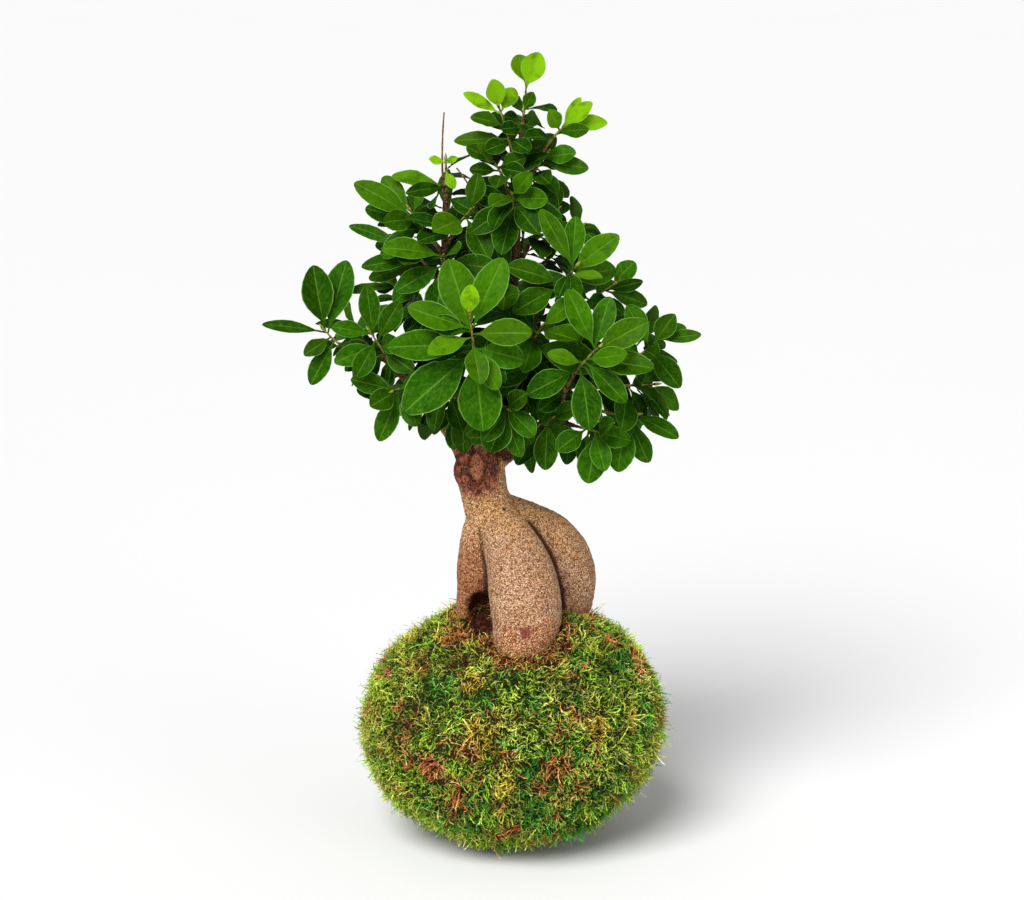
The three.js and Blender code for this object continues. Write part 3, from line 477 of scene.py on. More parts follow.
    ("shoot_back_upper_left", "left", 0.6, [-46, 24, 392], [-40, 44, 413], 0.4, 6, 40, 30, 0),
    ("shoot_back_upper", "right", 0.5, [6, 28, 392], [10, 46, 415], 0.4, 6, 40, 80, 0),
    ("shoot_back_far_left", "leftLow", 0.9, [-90, 14, 326], [-103, 30, 339], 0.4, 6, 38, 30, 0.2),
    ("shoot_back_high", "right", 0.74, [8, 14, 438], [12, 28, 453], 0.3, 6, 36, 0, 0),
]
leafyShoots = [dict(zip(shootKeys, row)) for row in shootRows]


def limbCurve(name):
    return limbLines[name][:3]


def twigCurve(limb, at, pull, tip):
    return [curvePoint(limbCurve(limb), at), pull, tip]


def shootCurve(shoot):
    return twigCurve(*(shoot[key] for key in ("limb", "at", "pull", "tip")))


rootPaths = {}
for name, rows in rootLines.items():
    path, widths = [row[:3] for row in rows], [row[3] for row in rows]
    rootPaths[name] = (smoothLine(path, rootRings), smoothWidths(widths, rootRings))


# How far points are outside each swollen root, in millimetres, less than 0 inside it, block by block.
def outsideRoots(points):
    block = 20000
    found = []
    for path, widths in rootPaths.values():
        nearest = np.empty(len(points))
        for start in range(0, len(points), block):
            some = points[start:start + block]
            squares = (some ** 2).sum(1)[:, None] - 2 * some @ path.T + (path ** 2).sum(1)
            nearest[start:start + block] = (np.sqrt(np.maximum(squares, 0)) - widths).min(1)
        found.append(nearest)
    return np.array(found)


# The same for the three roots in plain view, nearest first.
def nearestRoots(points):
    places = [list(rootLines).index(name) for name in ("left", "front", "right")]
    return np.sort(outsideRoots(points)[places], axis=0)


barkRule = {
    "voxel": 0.9,
    "rootSides": 40,
    "swell": 1.1,  # low lumps under the skin
    "swellSize": 15,
    "wrinkle": 0.32,  # rings round the roots
    "wrinkleStep": 4.2,
    "creaseDepth": 2.6,  # where two roots meet
    "creaseWidth": 1.3,
    # Heights between which the bark turns ochre, dark at the foot, red and grey, going up or down
    "ochreFrom": (188, 222),
    "footFrom": (168, 148),
    "redFrom": (250, 260),
    "greyFrom": (262, 275),
    # How far from the front root its deep shadow reaches on the right and the left one, by height
    "shadowHeights": [151, 163, 171, 184, 191, 204, 217],
    "shadowRight": [21.3, 16, 13.1, 8.7, 7.8, 4.6, 2.1],
    "shadowLeft": [26, 14, 8.2, 3.6, 1.7, 0.8, 0.3],
    "hollowAt": [-20, -11, 160],  # between the left and the front root
    "hollowSize": [7.5, 13, 10],
    "chipAt": [8, -64, 158],  # a dark chip in the front root
    "chipShape": [0.62, 0.4, 0.95],
    "knotAt": [-5, -17.5, 228],  # a small hole in the neck, not carved, only a dark spot of painted shade
    "limbSides": 10,
    "twigSides": 8,
    "limbFoot": 0.34,  # share of each limb that is in the skin of the roots
    "scarAt": [-24, -7, 251],
    "scarFacing": [-0.2, -0.95, 0.24],
    "scarRadius": 12,
    "scarLength": 11,
    "scarRim": 1.3,
    "scarPlaces": (-1, -0.5, 0, 0.5, 0.85, 1),  # along the stub, in half lengths
    "scarFlare": (1.3, 1.24, 1.12, 1.06, 1.0, 0.9),
    "woodAt": [2.3, 2],  # the bare wood's place on the scar, to the right and up
    "woodSize": [4.2, 8],
    "woodDepth": 2.2,
    "grooveAt": 1.3,  # how far out the groove round the bare wood is, where its rim is 1
    "grooveDepth": 1.6,
}
scarWay = unit(np.array(barkRule["scarFacing"]))


# Where points lie by the scar: their height over it, their distance from its middle, and how far out they are
# from the oval of bare wood, whose rim is 1.
def scarPlace(points):
    face = np.array(barkRule["scarAt"]) + scarWay * barkRule["scarLength"] / 2
    upward = unit(np.array([0, 0, 1]) - scarWay * scarWay[2])
    along, up = (points - face) @ scarWay, (points - face) @ upward
    side = (points - face) @ np.cross(upward, scarWay)
    woodAt, woodSize = np.array([barkRule["woodAt"]]).T, np.array([barkRule["woodSize"]]).T
    wood = np.hypot(*(np.array([side, up]) - woodAt) / woodSize)
    return along, np.hypot(side, up), wood


# How far out points are from the hollow between the roots, whose ragged wall is 1.
def hollowPlace(points):
    away = lengths((points - barkRule["hollowAt"]) / barkRule["hollowSize"])
    return away * (1 + 0.16 * ripple(points, 7, 18))


# From 0 to 1 where two swollen roots meet.
def creaseOf(points):
    away = nearestRoots(points)
    beside = np.exp(-((away[1] - away[0]) / barkRule["creaseWidth"]) ** 2)
    return beside * smoothStep(6, 3, away[1]) * smoothStep(218, 206, points[:, 2])


def makeRoots():
    sides = barkRule["rootSides"]
    made = [addTube(name, path, np.maximum(widths, 0.6), sides) for name, (path, widths) in rootPaths.items()]
    for name, limb in limbLines.items():
        t = np.linspace(0, barkRule["limbFoot"], 12)
        flare = 1 + 0.5 * np.exp(-t / 0.06)
        made.append(addTube(name, curvePoint(limb[:3], t), between(limb[3:], t) * flare, 16))
    along = scarWay * barkRule["scarLength"] / 2
    stub = np.array([np.array(barkRule["scarAt"]) + along * k for k in barkRule["scarPlaces"]])
    made.append(addTube("scar", stub, barkRule["scarRadius"] * np.array(barkRule["scarFlare"]), 32))
    roots = joinPieces(made, "roots")
    applyModifier(roots, "REMESH", mode="VOXEL", voxel_size=barkRule["voxel"] * mm)
    applyModifier(roots, "SMOOTH", factor=0.5, iterations=4)
    swelling = bpy.data.textures.new("rootSwelling", "CLOUDS")
    swelling.noise_scale = barkRule["swellSize"] * mm
    applyModifier(roots, "DISPLACE", texture=swelling, strength=barkRule["swell"] * mm, mid_level=0.5)
    carveRoots(roots.data)
    return roots


# Rings, knobs, the creases between the roots, the dished scar and the hollow, pressed into the remeshed skin.
def carveRoots(mesh):
    points, normals = pointsOf(mesh) / mm, pointsOf(mesh, "normal")
    phase = points[:, 2] / barkRule["wrinkleStep"] + 0.8 * ripple(points, 24, 3) + 0.35 * ripple(points, 9, 4)
    ring = np.maximum(0, np.sin(2 * math.pi * phase)) ** 3
    depth = -barkRule["wrinkle"] * ring * smoothStep(-0.3, 0.6, ripple(points, 30, 5))
    depth += 0.16 * ripple(points, 5.5, 6)
    depth -= barkRule["creaseDepth"] * creaseOf(points)
    along, across, wood = scarPlace(points)
    near = smoothStep(8, 4, np.abs(along))
    radius = barkRule["scarRadius"]
    groove = barkRule["grooveDepth"] * np.exp(-((wood - barkRule["grooveAt"]) / 0.22) ** 2)
    dish = -barkRule["woodDepth"] * smoothStep(1.15, 0.8, wood) - groove
    rim = barkRule["scarRim"] * np.exp(-((across - radius * 0.92) / 2.2) ** 2)
    grain = 0.5 * ripple(points * [1.6, 1, 0.4], 4, 8) * smoothStep(radius * 1.1, radius * 0.7, across)
    rough = 0.75 * ripple(points * [1, 1, 0.6], 4.2, 9) * smoothStep(radius * 1.7, radius * 0.8, across)
    moved = points + normals * depth[:, None]
    moved += scarWay * (near * (dish + grain) + rim * near)[:, None] + normals * (near * rough)[:, None]
    out = hollowPlace(moved)
    middle = np.array(barkRule["hollowAt"])
    moved = middle + (moved - middle) * ((out ** 4 + 0.8) ** 0.25 / out)[:, None]
    movePoints(mesh, moved * mm)


def makeLimbs():
    made = []
    sides = barkRule["twigSides"]
    for name, limb in limbLines.items():
        t = np.linspace(0.1, 1, 56)
        knots = 1 + 0.09 * np.maximum(0, np.sin(2 * math.pi * t * 17)) ** 6
        radii = between(limb[3:], t) * knots * 0.97
        made.append(addTube(name, curvePoint(limb[:3], t), radii, barkRule["limbSides"]))
    for shoot in leafyShoots:
        share = np.linspace(0, 1, 8)
        radii = 2 - 0.5 * share + 0.9 * np.exp(-share / 0.12)
        path = curvePoint(shootCurve(shoot), np.linspace(0, shoot["wood"], 8))
        made.append(addTube(shoot["name"], path, radii, sides))
    for *line, radius in bareTwigs:
        t = np.linspace(0, 1, 14)
        radii = radius * (1 - 0.45 * t) * (1 + 0.16 * np.sin(t * 40))
        made.append(addTube("twig", curvePoint(twigCurve(*line), t), radii, sides))
    return joinPieces(made, "limbs")


# Where the skin is red, rusty, chipped and so on, and where shade is painted into its creases, hollow and
# groove and beside the front root, from 0 to 1, for the material.
def paintBark(mesh):
    points = pointsOf(mesh) / mm
    byLine = dict(zip(rootLines, outsideRoots(points)))
    front, height = byLine["front"], points[:, 2]
    along, across, wood = scarPlace(points)
    scar = np.sqrt(along ** 2 + across ** 2) + 2.5 * ripple(points, 9, 11)
    high = smoothStep(*barkRule["redFrom"], height + 4 * ripple(points, 12, 14))
    red = np.maximum(smoothStep(22, 14, scar), high)
    onLeft = smoothStep(2.5, -1, byLine["left"]) * smoothStep(1, 4, front)
    patchy = 0.65 + 0.35 * smoothStep(-0.8, 0.5, ripple(points, 22, 12))
    rust = onLeft * smoothStep(212, 188, height) * patchy
    chip = lengths((points - barkRule["chipAt"]) * barkRule["chipShape"])
    chip = smoothStep(4.0, 2.4, chip + 1.4 * ripple(points, 5, 15))
    slope = height + 9 * ripple(points, 20, 16) + 0.5 * (points[:, 1] + 12)
    ochre = smoothStep(*barkRule["ochreFrom"], slope)
    foot = smoothStep(*barkRule["footFrom"], height + 9 * ripple(points, 16, 13))
    beyondRight, beyondLeft = (
        front - np.interp(height, barkRule["shadowHeights"], barkRule[side])
        for side in ("shadowRight", "shadowLeft")
    )
    # Painted shadow of the front root on the right root, and a thin painted shade line where it meets the left
    # one.
    shaded = smoothStep(2.4, 0.6, beyondRight) + 0.32 * np.exp(-np.maximum(beyondRight, 0) / 7)
    shaded = np.where(byLine["right"] < byLine["left"], shaded, 0.7 * smoothStep(1.3, 0.3, beyondLeft))
    shaded = shaded * smoothStep(0.4, 1.2, front) * smoothStep(221, 213, height)
    # Painted shade inside the hollow between the roots and on the inner root behind it.
    inside = smoothStep(2, 0, byLine["inner"]) * (nearestRoots(points)[0] > 0.6)
    inside = inside * smoothStep(200, 190, height)
    inside = np.maximum(inside, smoothStep(1.55, 1.05, hollowPlace(points)) * (points[:, 1] > -26))
    # Painted shade of the small hole in the neck, which is not carved.
    holeShade = smoothStep(1.9, 1.0, lengths(points - barkRule["knotAt"]))
    # Painted shade in the groove round the bare wood.
    ring = np.exp(-((wood - barkRule["grooveAt"]) / 0.24) ** 2) * smoothStep(9, 5, np.abs(along))
    ring = ring * (0.6 + 0.4 * ripple(points, 4, 17))
    # All of these together: painted shade in the creases where roots meet, the hollow, the hole, the groove
    # and the front root's shadow.
    crease = np.maximum.reduce([0.9 * creaseOf(points), shaded, 0.8 * inside, holeShade, 0.92 * ring])
    bare = smoothStep(1.15, 0.85, wood) * smoothStep(8, 4, np.abs(along))
    addNumbers(mesh, redBark=red, rustBark=rust, chipBark=chip, bareWood=bare)
    addNumbers(mesh, ochreBark=ochre, footBark=foot, creaseBark=np.clip(crease, 0, 1))
    addNumbers(mesh, limbBark=smoothStep(*barkRule["greyFrom"], height))


barkColours = {
    "pink": (0.56, 0.28, 0.160),
    "tan": (0.48, 0.22, 0.098),
    "ochre": (0.66, 0.31, 0.105),
    "rust": (0.38, 0.095, 0.018),
    "shade": (0.27, 0.115, 0.050),
    "fleck": (1.0, 0.85, 0.53),
    "pit": (0.075, 0.020, 0.007),
    "red": (0.040, 0.004, 0.002),
    "redLight": (0.54, 0.130, 0.060),
    "chip": (0.15, 0.012, 0.004),
    "wood": (0.70, 0.25, 0.12),
    "foot": (0.46, 0.14, 0.034),
    "limb": (0.15, 0.075, 0.030),
    "limbLight": (0.34, 0.20, 0.09),
    # Near-black painted shade for the creases, the hollow, the hole, the groove and the front root's shadow
    "crease": (0.036, 0.0060, 0.0035),
}


def makeBark():
    bark = Recipe("bark", barkColours)
    red, limb, rust = bark.number("redBark"), bark.number("limbBark"), bark.number("rustBark")
    bark.paint = bark.mix(bark.fade(bark.noise(60, 3), 0.4, 0.62), "pink", "tan")
    bark.cover(bark.number("ochreBark"), "ochre")
    rings = bark.noise(1, 4, 0.6, bark.stretched(120, 120, 900), 0.4)
    bark.cover(bark.fade(rings, 0.54, 0.62), "shade", 0.55)
    bark.cover(rust, "rust")
    bark.cover(bark.number("footBark"), "foot", 0.8)
    streaks = bark.noise(1, 4, 0.65, bark.stretched(560, 560, 230), 0.6)
    blots = bark.plus(bark.times(streaks, 0.5), bark.times(bark.noise(210, 3, 0.6), 0.5))
    bark.cover(red, bark.mix(bark.fade(blots, 0.42, 0.6), "red", "redLight"))
    bark.cover(limb, bark.mix(bark.fade(streaks, 0.4, 0.6), "limb", "limbLight"))
    bark.cover(bark.number("bareWood"), "wood", 0.75)
    # Small pale scales with dark pits between them
    scales = bark.cells(1230, bark.warped(680, 0.0016))
    grains = bark.noise(580, 3, 0.65)
    pits = bark.times(bark.fade(scales, 0.40, 0.58), bark.fade(grains, 0.64, 0.44))
    flecks = bark.times(bark.fade(scales, 0.46, 0.22), bark.fade(grains, 0.36, 0.54))
    plain = bark.math("MAXIMUM", bark.math("MAXIMUM", bark.times(red, 1.3), limb), rust)
    plain = bark.math("SUBTRACT", 1, bark.times(plain, 0.6), clamp=True)
    bark.cover(pits, "pit", 0.85)
    bark.cover(bark.times(bark.times(flecks, 0.92), plain), "fleck")
    bark.cover(bark.number("chipBark"), "chip", 0.75)
    # Painted shade and shadow in the creases, the hollow, the hole, the groove and beside the front root.
    bark.cover(bark.number("creaseBark"), "crease", 0.94)
    bark.set(Base_Color=bark.paint, Roughness=0.74, Specular_IOR_Level=0.2)
    height = bark.plus(bark.times(scales, -0.8), bark.times(rings, -0.7))
    height = bark.plus(height, bark.times(streaks, bark.math("MAXIMUM", red, limb)))
    bark.bump(bark.plus(height, bark.times(grains, 0.6)), 0.85, 0.0011)
    return bark.material


barkMaterial = makeBark()
trunk = joinPieces([makeRoots(), makeLimbs()], "trunkBark")
bpy.ops.object.shade_smooth()
paintBark(trunk.data)
paintWith(trunk, barkMaterial)
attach(trunk, "root")
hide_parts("trunk")
print("trunk:", len(trunk.data.polygons), "faces")

# The leaves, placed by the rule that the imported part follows
leafRule = {
    "petiole": 0.13,
    "fold": 0.18,
    "arch": 0.16,
    "widening": 1.06,
    "leafRoom": 1.7,
    "rimRoom": 3,
    "stemRoom": 2,
    "stemRadii": [1.5, 0.5],
    "turns": [0, 12, -12, 24, -24, 38, -38, 54, -54],
    "rolls": [0, 22, -22],
    "goldenAngle": 137.5,
    "farthest": 110,  # between the tips of leaves that could touch
    "ownFoot": 0.22,  # the share of a leaf, from its root, that may be near leaves of its own shoot
    "otherFoot": 0.03,  # the same for those of other shoots, and for stems
    "seed": 1000,
    "seedStep": 77,
}


def alongBlade(t):
    return np.clip((t - leafRule["petiole"]) / (1 - leafRule["petiole"]), 0, 1)


def outline(t):
    return np.maximum(0, np.sin(math.pi * alongBlade(t) ** 1.25)) ** 0.8


def turned(vector, axis, degrees):
    angle = math.radians(degrees)
    sine, cosine = math.sin(angle), math.cos(angle)
    return vector * cosine + np.cross(axis, vector) * sine + axis * (axis @ vector) * (1 - cosine)


def drawer(seed):
    state = seed
    while True:
        state = state * 16807 % 2147483647
        yield state / 2147483647


def lightOn(root, axis):
    outside = np.array([root[0], root[1], 0.0])
    if np.linalg.norm(outside) > 1:
        outside = unit(outside)
    return np.array([0, -0.3, 0.55]) + 0.6 * outside + 0.5 * axis


# Where a leaf stands on its stem, and the way that the stem goes there.
def leafFoot(curve, place):
    return curvePoint(curve, place), unit(curveSlope(curve, place))


def planLeaf(root, axis, reach, length, width, roll, youth, light=None):
    return {
        "root": root, "axis": axis, "heading": unit(reach), "length": length, "width": width, "roll": roll,
        "youth": youth, "light": lightOn(root, axis) if light is None else light,
    }


def grownLeaf(shoot, curve, index, draw):
    share = (index + 0.5) / shoot["leaves"]
    root, axis = leafFoot(curve, shoot["wood"] + (1 - shoot["wood"]) * (0.12 + 0.86 * share))
    upward = np.array([0.0, -1, 0]) if abs(axis[2]) > 0.9 else np.array([0.0, 0, 1])
    zero = unit(upward - axis * (upward @ axis))
    turn = shoot["turn"] + index * leafRule["goldenAngle"] + 16 * (next(draw) - 0.5)
    outward = turned(zero, axis, turn)
    spread = math.radians(78 - 44 * share + 14 * (next(draw) - 0.5))
    heading = axis * math.cos(spread) + outward * math.sin(spread)
    heading[2] -= shoot["hang"]
    length = shoot["length"] * (1.06 - 0.42 * share * share + 0.16 * (next(draw) - 0.5))
    width = length * (0.5 + 0.08 * (next(draw) - 0.5))
    return planLeaf(root, axis, heading, length, width, 40 * (next(draw) - 0.5), 0.1 + 0.2 * share)


def setLeaf(shoot, curve, place, x, y, z, width, youth=0.15):
    root, axis = leafFoot(curve, shoot["wood"] + (1 - shoot["wood"]) * place)
    reach, light = np.array([x, y, z], dtype=float), np.array([0, -1, 0.4])
    return planLeaf(root, axis, reach, np.linalg.norm(reach), width, 0, youth, light)


def makeLeaf(plan, turn, roll):
    heading = turned(plan["heading"], plan["axis"], turn)
    face = unit(plan["light"] - heading * (plan["light"] @ heading))
    face = turned(face, heading, plan["roll"] + roll)
    return {**plan, "heading": heading, "face": face, "across": np.cross(face, heading)}


def leafPoint(leaf, t, side):
    half = leaf["width"] / 2 * leafRule["widening"] * outline(t)
    rise = np.abs(side) * half * leafRule["fold"] - leaf["length"] * leafRule["arch"] * t * t
    return (
        leaf["root"] + leaf["heading"] * (leaf["length"] * t)[..., None]
        + leaf["across"] * (side * half)[..., None] + leaf["face"] * rise[..., None]
    )


# The tip of a leaf and seven rows across it, with their places along the leaf and to its sides
sampleAlong = np.array([1] + [t for t in (0.12, 0.25, 0.38, 0.51, 0.64, 0.77, 0.9) for _ in range(5)])
sampleSide = np.array([0] + [-1, -0.5, 0, 0.5, 1] * 7)


# How far points stand above leaves' middle surfaces, or no number past the rims and near the roots.
def riseOver(leaf, points, margin, rootShare):
    away = points - leaf["root"][..., None, :]
    length = leaf["length"][..., None]
    t = (away * leaf["heading"][..., None, :]).sum(-1) / length
    side = np.abs((away * leaf["across"][..., None, :]).sum(-1))
    half = leaf["width"][..., None] / 2 * leafRule["widening"] * outline(t)
    rise = (away * leaf["face"][..., None, :]).sum(-1) - side * leafRule["fold"]
    rise = rise + length * leafRule["arch"] * t * t
    outside = (t < rootShare) | (t > 1 + margin / length) | (side > half + margin)
    return np.where(outside, np.nan, rise)


def keepsOff(rises, room):
    beside = np.isnan(rises)
    return (beside | (rises > room)).all(-1) | (beside | (rises < -room)).all(-1)


def stacked(leaves):
    keys = ("root", "heading", "face", "across", "length", "width")
    return {key: np.array([leaf[key] for leaf in leaves], dtype=float) for key in keys}


# More leaves inside the crown, which only the dressed shoots have
fillRule = {
    "rounds": 6,
    "length": [22, 36],
    "slim": [0.44, 0.56],  # width for length
    "youth": 0.04,
    "spread": [50, 88],  # from their stem, in degrees
    "roll": [-25, 25],
    "sag": 0.2,
    "onShoot": [0.12, 0.92],  # the share of each shoot that they stand on
    # Others stand on the limb, up to limbBack before the shoot leaves it and not before limbStart
    "limbStart": 0.25,
    "limbBack": 0.15,
    "leafRoom": 0.8,
    "rimRoom": 1.0,
    "stemRoom": 0.9,
    "turns": [0, 45, -45, 90],
    "rolls": [0, 30],
    "middle": [-4, 4, 330],
    "cover": 3,
    "coverWidth": 13,
    "checked": [0, 16, 20],  # the samples at the tip and on both rims halfway
    "scarTop": 276,
    "scarBack": 4,
    "scarSides": [-46, 2],
    "seed": 5,
}

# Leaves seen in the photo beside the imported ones: place, reach and width
extraLeaves = {
    "shoot_front_rosette": [(0.0, -13, 0, 5, 11)],
    "shoot_low_right": [(0.0, -5, -4, -27, 11), (0.2, 6, -4, -26, 14)],
    "shoot_low_front": [(1.0, 0, -10, -26, 14)],
    "shoot_low_left": [(0.0, -7, -4, -29, 15), (0.0, -10, -4, -33, 12)],
    "shoot_left_high": [(0.8, -16, 4, -1, 8), (0.3, -8, 10, -20, 10), (0.1, -26, -22, 2, 9)],
    "shoot_left_near": [(0.1, -4, -4, -16, 9), (0.0, -3, 0, -18, 9)],
    "shoot_left_far": [(0.3, -22, 4, 1, 9)],
    "shoot_left_top": [(0.0, -33, -4, 5, 10)],
    "shoot_left_middle": [(1.0, -38, 10, 17, 9)],
    "shoot_right_back": [(0.7, 17, -4, -13, 9), (0.8, 24, -4, 6, 9)],
    "shoot_right_hanging": [(0.6, -5, 0, -23, 11)],
    "shoot_right_far": [(0.7, -5, -5, 10, 8)],
    "shoot_back_side": [(0.0, 14, 0, -28, 11), (0.5, -27, 0, 15, 9)],
    "shoot_back_low": [(1.0, -30, 0, 20, 11)],
}


class Crown:
    def __init__(self):
        self.leaves, self.samples, self.shoots = [], [], []
        lines = [(limb[:3], limb[3:], 40, -1) for limb in limbLines.values()]
        lines += [(twigCurve(*line), (radius, radius), 10, -1) for *line, radius in bareTwigs]
        lines += [(shootCurve(shoot), leafRule["stemRadii"], 14, n) for n, shoot in enumerate(leafyShoots)]
        self.stems = np.array([
            (*curvePoint(curve, t), between(radii, t), number)
            for curve, radii, steps, number in lines for t in np.arange(steps + 1) / steps
        ])

    def isClear(self, leaf, samples, number, rule):
        own = stacked([leaf])
        if self.leaves:
            near = lengths(self.samples[:, 0] - samples[0]) <= leafRule["farthest"]
            others = {key: value[near] for key, value in self.frames.items()}
            isOwn = np.array(self.shoots)[near] == number
            rootShare = np.where(isOwn, leafRule["ownFoot"], leafRule["otherFoot"])[:, None]
            margin, room = rule["rimRoom"], rule["leafRoom"]
            if not keepsOff(riseOver(others, samples[None], margin, rootShare), room).all():
                return False
            if not keepsOff(riseOver(own, self.samples[near], margin, rootShare), room).all():
                return False
        stems = self.stems[self.stems[:, 4] != number]
        room = stems[:, 3] + rule["stemRoom"]
        rise = riseOver(own, stems[None, :, :3], room, leafRule["otherFoot"])[0]
        return not (np.abs(rise) < room).any()

    # Whether points keep behind the leaves that are there already, as seen from outside, and off the scar.
    def isInside(self, samples):
        x, y, z = samples.T
        left, right = fillRule["scarSides"]
        if ((z < fillRule["scarTop"]) & (x > left) & (x < right) & (y < fillRule["scarBack"])).any():
            return False
        placed = self.samples.reshape(-1, 3)
        for point in samples[fillRule["checked"]]:
            out = unit(point - fillRule["middle"])
            beyond = (placed - point) @ out
            aside = lengths(placed - point - beyond[:, None] * out)
            if not ((beyond > fillRule["cover"]) & (aside < fillRule["coverWidth"])).any():
                return False
        return True

    def add(self, plan, number, rule=leafRule, inside=False):
        for turn in rule["turns"]:
            for roll in rule["rolls"]:
                leaf = makeLeaf(plan, turn, roll)
                samples = leafPoint(leaf, sampleAlong, sampleSide)
                if inside and not self.isInside(samples):
                    continue
                if self.isClear(leaf, samples, number, rule):
                    self.leaves.append(leaf)
                    self.shoots.append(number)
                    self.samples = np.array([*self.samples, samples])
                    self.frames = stacked(self.leaves)
                    return True
        return False


def fillLeaf(curve, part, draw):
    root, axis = leafFoot(curve, draw.uniform(*part))
    outward = draw.normal(size=3)
    outward = unit(outward - axis * (outward @ axis))
    spread = math.radians(draw.uniform(*fillRule["spread"]))
    heading = axis * math.cos(spread) + outward * math.sin(spread) - [0, 0, fillRule["sag"]]
    length = draw.uniform(*fillRule["length"])
    width = length * draw.uniform(*fillRule["slim"])
    return planLeaf(root, axis, heading, length, width, draw.uniform(*fillRule["roll"]), fillRule["youth"])


def growCrown():
    crown = Crown()
    missed = []
    for number, shoot in enumerate(leafyShoots):
        curve, leaves = shootCurve(shoot), shoot["leaves"]
        draw = drawer(leafRule["seed"] + leafRule["seedStep"] * number)
        if isinstance(leaves, list):
            plans = [setLeaf(shoot, curve, *leaf) for leaf in leaves]
        else:
            plans = [grownLeaf(shoot, curve, index, draw) for index in range(leaves)]
        for plan in plans:
            if not crown.add(plan, number):
                missed.append((plan, number))
    for plan, number in missed:
        crown.add(plan, number, fillRule)
    for number, shoot in enumerate(leafyShoots):
        for leaf in extraLeaves.get(shoot["name"], []):
            crown.add(setLeaf(shoot, shootCurve(shoot), *leaf, 0.1), number, fillRule)
    draw = np.random.default_rng(fillRule["seed"])
    for _ in range(fillRule["rounds"]):
        for number, shoot in enumerate(leafyShoots):
            limbPart = (max(fillRule["limbStart"], shoot["at"] - fillRule["limbBack"]), shoot["at"])
            parts = ((shootCurve(shoot), fillRule["onShoot"]), (limbCurve(shoot["limb"]), limbPart))
            for curve, part in parts:
                crown.add(fillLeaf(curve, part, draw), number, fillRule, inside=True)
    return crown


leafSettings = {
    "columns": 4,
    "stations": [0, 0.12, 0.18, 0.29, 0.43, 0.57, 0.7, 0.82, 0.92, 0.98, 1],
    "bladeThickness": 0.5,
    "petioleRadius": 0.62,
    "wave": 0.8,  # how much the rims rise and fall
    "twist": 20,  # degrees
    "bend": 0.05,  # sideways, per length
    "archChange": 0.35,  # of the arch
    "stemSides": 8,
    "stemGap": 0.3,  # between the bark and the green stem
    "budLength": 6,
    "budPlaces": [0.15, 0.4, 0.7, 0.92, 1],
    "budRadii": [1.0, 1.15, 0.75, 0.3, 0.06],
    "outerFrom": [14, 42],  # from the crown's upright middle line
    "seed": 17,
}


# One leaf blade, flat and square in its own coordinates: side is x, the place along is y, and z tells the
# upper skin from the lower. The two skins share their rim.
def modelBlade():
    rows = len(leafSettings["stations"]) - 1
    clearSelection()
    bpy.ops.mesh.primitive_grid_add(x_subdivisions=leafSettings["columns"], y_subdivisions=rows, size=2)
    blade = takeNew("blade")
    selectWhere(blade, lambda p: np.abs(p[:, :2]).max(1) < 0.999)
    bpy.ops.transform.translate(value=(0, 0, 1))
    bpy.ops.mesh.select_all(action="SELECT")
    bpy.ops.mesh.duplicate()
    bpy.ops.transform.resize(value=(1, 1, -1), center_override=(0, 0, 0))
    bpy.ops.mesh.flip_normals()
    bpy.ops.mesh.select_all(action="SELECT")
    bpy.ops.mesh.remove_doubles(threshold=0.001)
    selectWhere(blade, lambda p: p[:, 1] > 0.999)
    bpy.ops.mesh.merge(type="CENTER")
    for axis in (0, 2):
        selectWhere(blade, lambda p: np.abs(p[:, axis]) < 0.001, "EDGE")
        bpy.ops.mesh.mark_sharp()
    objectMode()
    mesh = blade.data
    points = pointsOf(mesh)
    lower = [points[list(face.vertices), 2].min() < -0.5 for face in mesh.polygons]
    leafMap = freshMap(mesh)
    for loop in mesh.loops:
        x, y, _ = points[loop.vertex_index]
        leafMap.data[loop.index].uv = (x / 2 + 0.5, y / 2 + 0.5)
    addNumbers(mesh, "FACE", underside=lower)
    for face in mesh.polygons:
        face.use_smooth = True
    return blade


def freshMap(mesh):
    while mesh.uv_layers:
        mesh.uv_layers.remove(mesh.uv_layers[0])
    return mesh.uv_layers.new(name="leafMap")


# Half the width of a dressed leaf along its length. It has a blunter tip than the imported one.
def softOutline(t):
    along = alongBlade(t)
    return np.maximum(0, np.sin(math.pi * along ** 1.22)) ** (0.82 - 0.26 * along)


# Where the blade's own points come to lie on one leaf.
def bladePoints(leaf, flat, draw):
    rows = len(leafSettings["stations"]) - 1
    t = np.interp((flat[:, 1] + 1) / 2 * rows, np.arange(rows + 1), leafSettings["stations"])
    side = flat[:, 0]
    inPetiole = smoothStep(0.2, 0.12, t)
    half = np.maximum(leaf["width"] / 2 * softOutline(t), leafSettings["petioleRadius"] * inPetiole)
    arch = leafRule["arch"] * (1 + leafSettings["archChange"] * draw.uniform(-1, 1))
    fold = leafRule["fold"] * draw.uniform(0.7, 2.6)
    bend = leaf["length"] * leafSettings["bend"] * draw.uniform(-1, 1) * t * t
    rise = np.abs(side) ** 1.3 * half * fold - leaf["length"] * arch * t * t
    waves, start = draw.uniform(1.2, 2.2), draw.uniform(0, 1, 2)
    phase = np.where(side < 0, start[0], start[1])
    rise += leafSettings["wave"] * side ** 2 * outline(t) * np.sin(2 * math.pi * (waves * t + phase))
    rise += half * side * math.radians(leafSettings["twist"]) * draw.uniform(-1, 1) * t
    thick = leafSettings["bladeThickness"] / 2 * (1 - 0.35 * np.abs(side)) * (1 - 0.3 * t)
    thick = np.maximum(thick, leafSettings["petioleRadius"] * inPetiole * (1 - np.abs(side)))
    return (
        leaf["root"] + leaf["heading"] * (leaf["length"] * t)[:, None]
        + leaf["across"] * (side * half + bend)[:, None] + leaf["face"] * (rise + flat[:, 2] * thick)[:, None]
    )


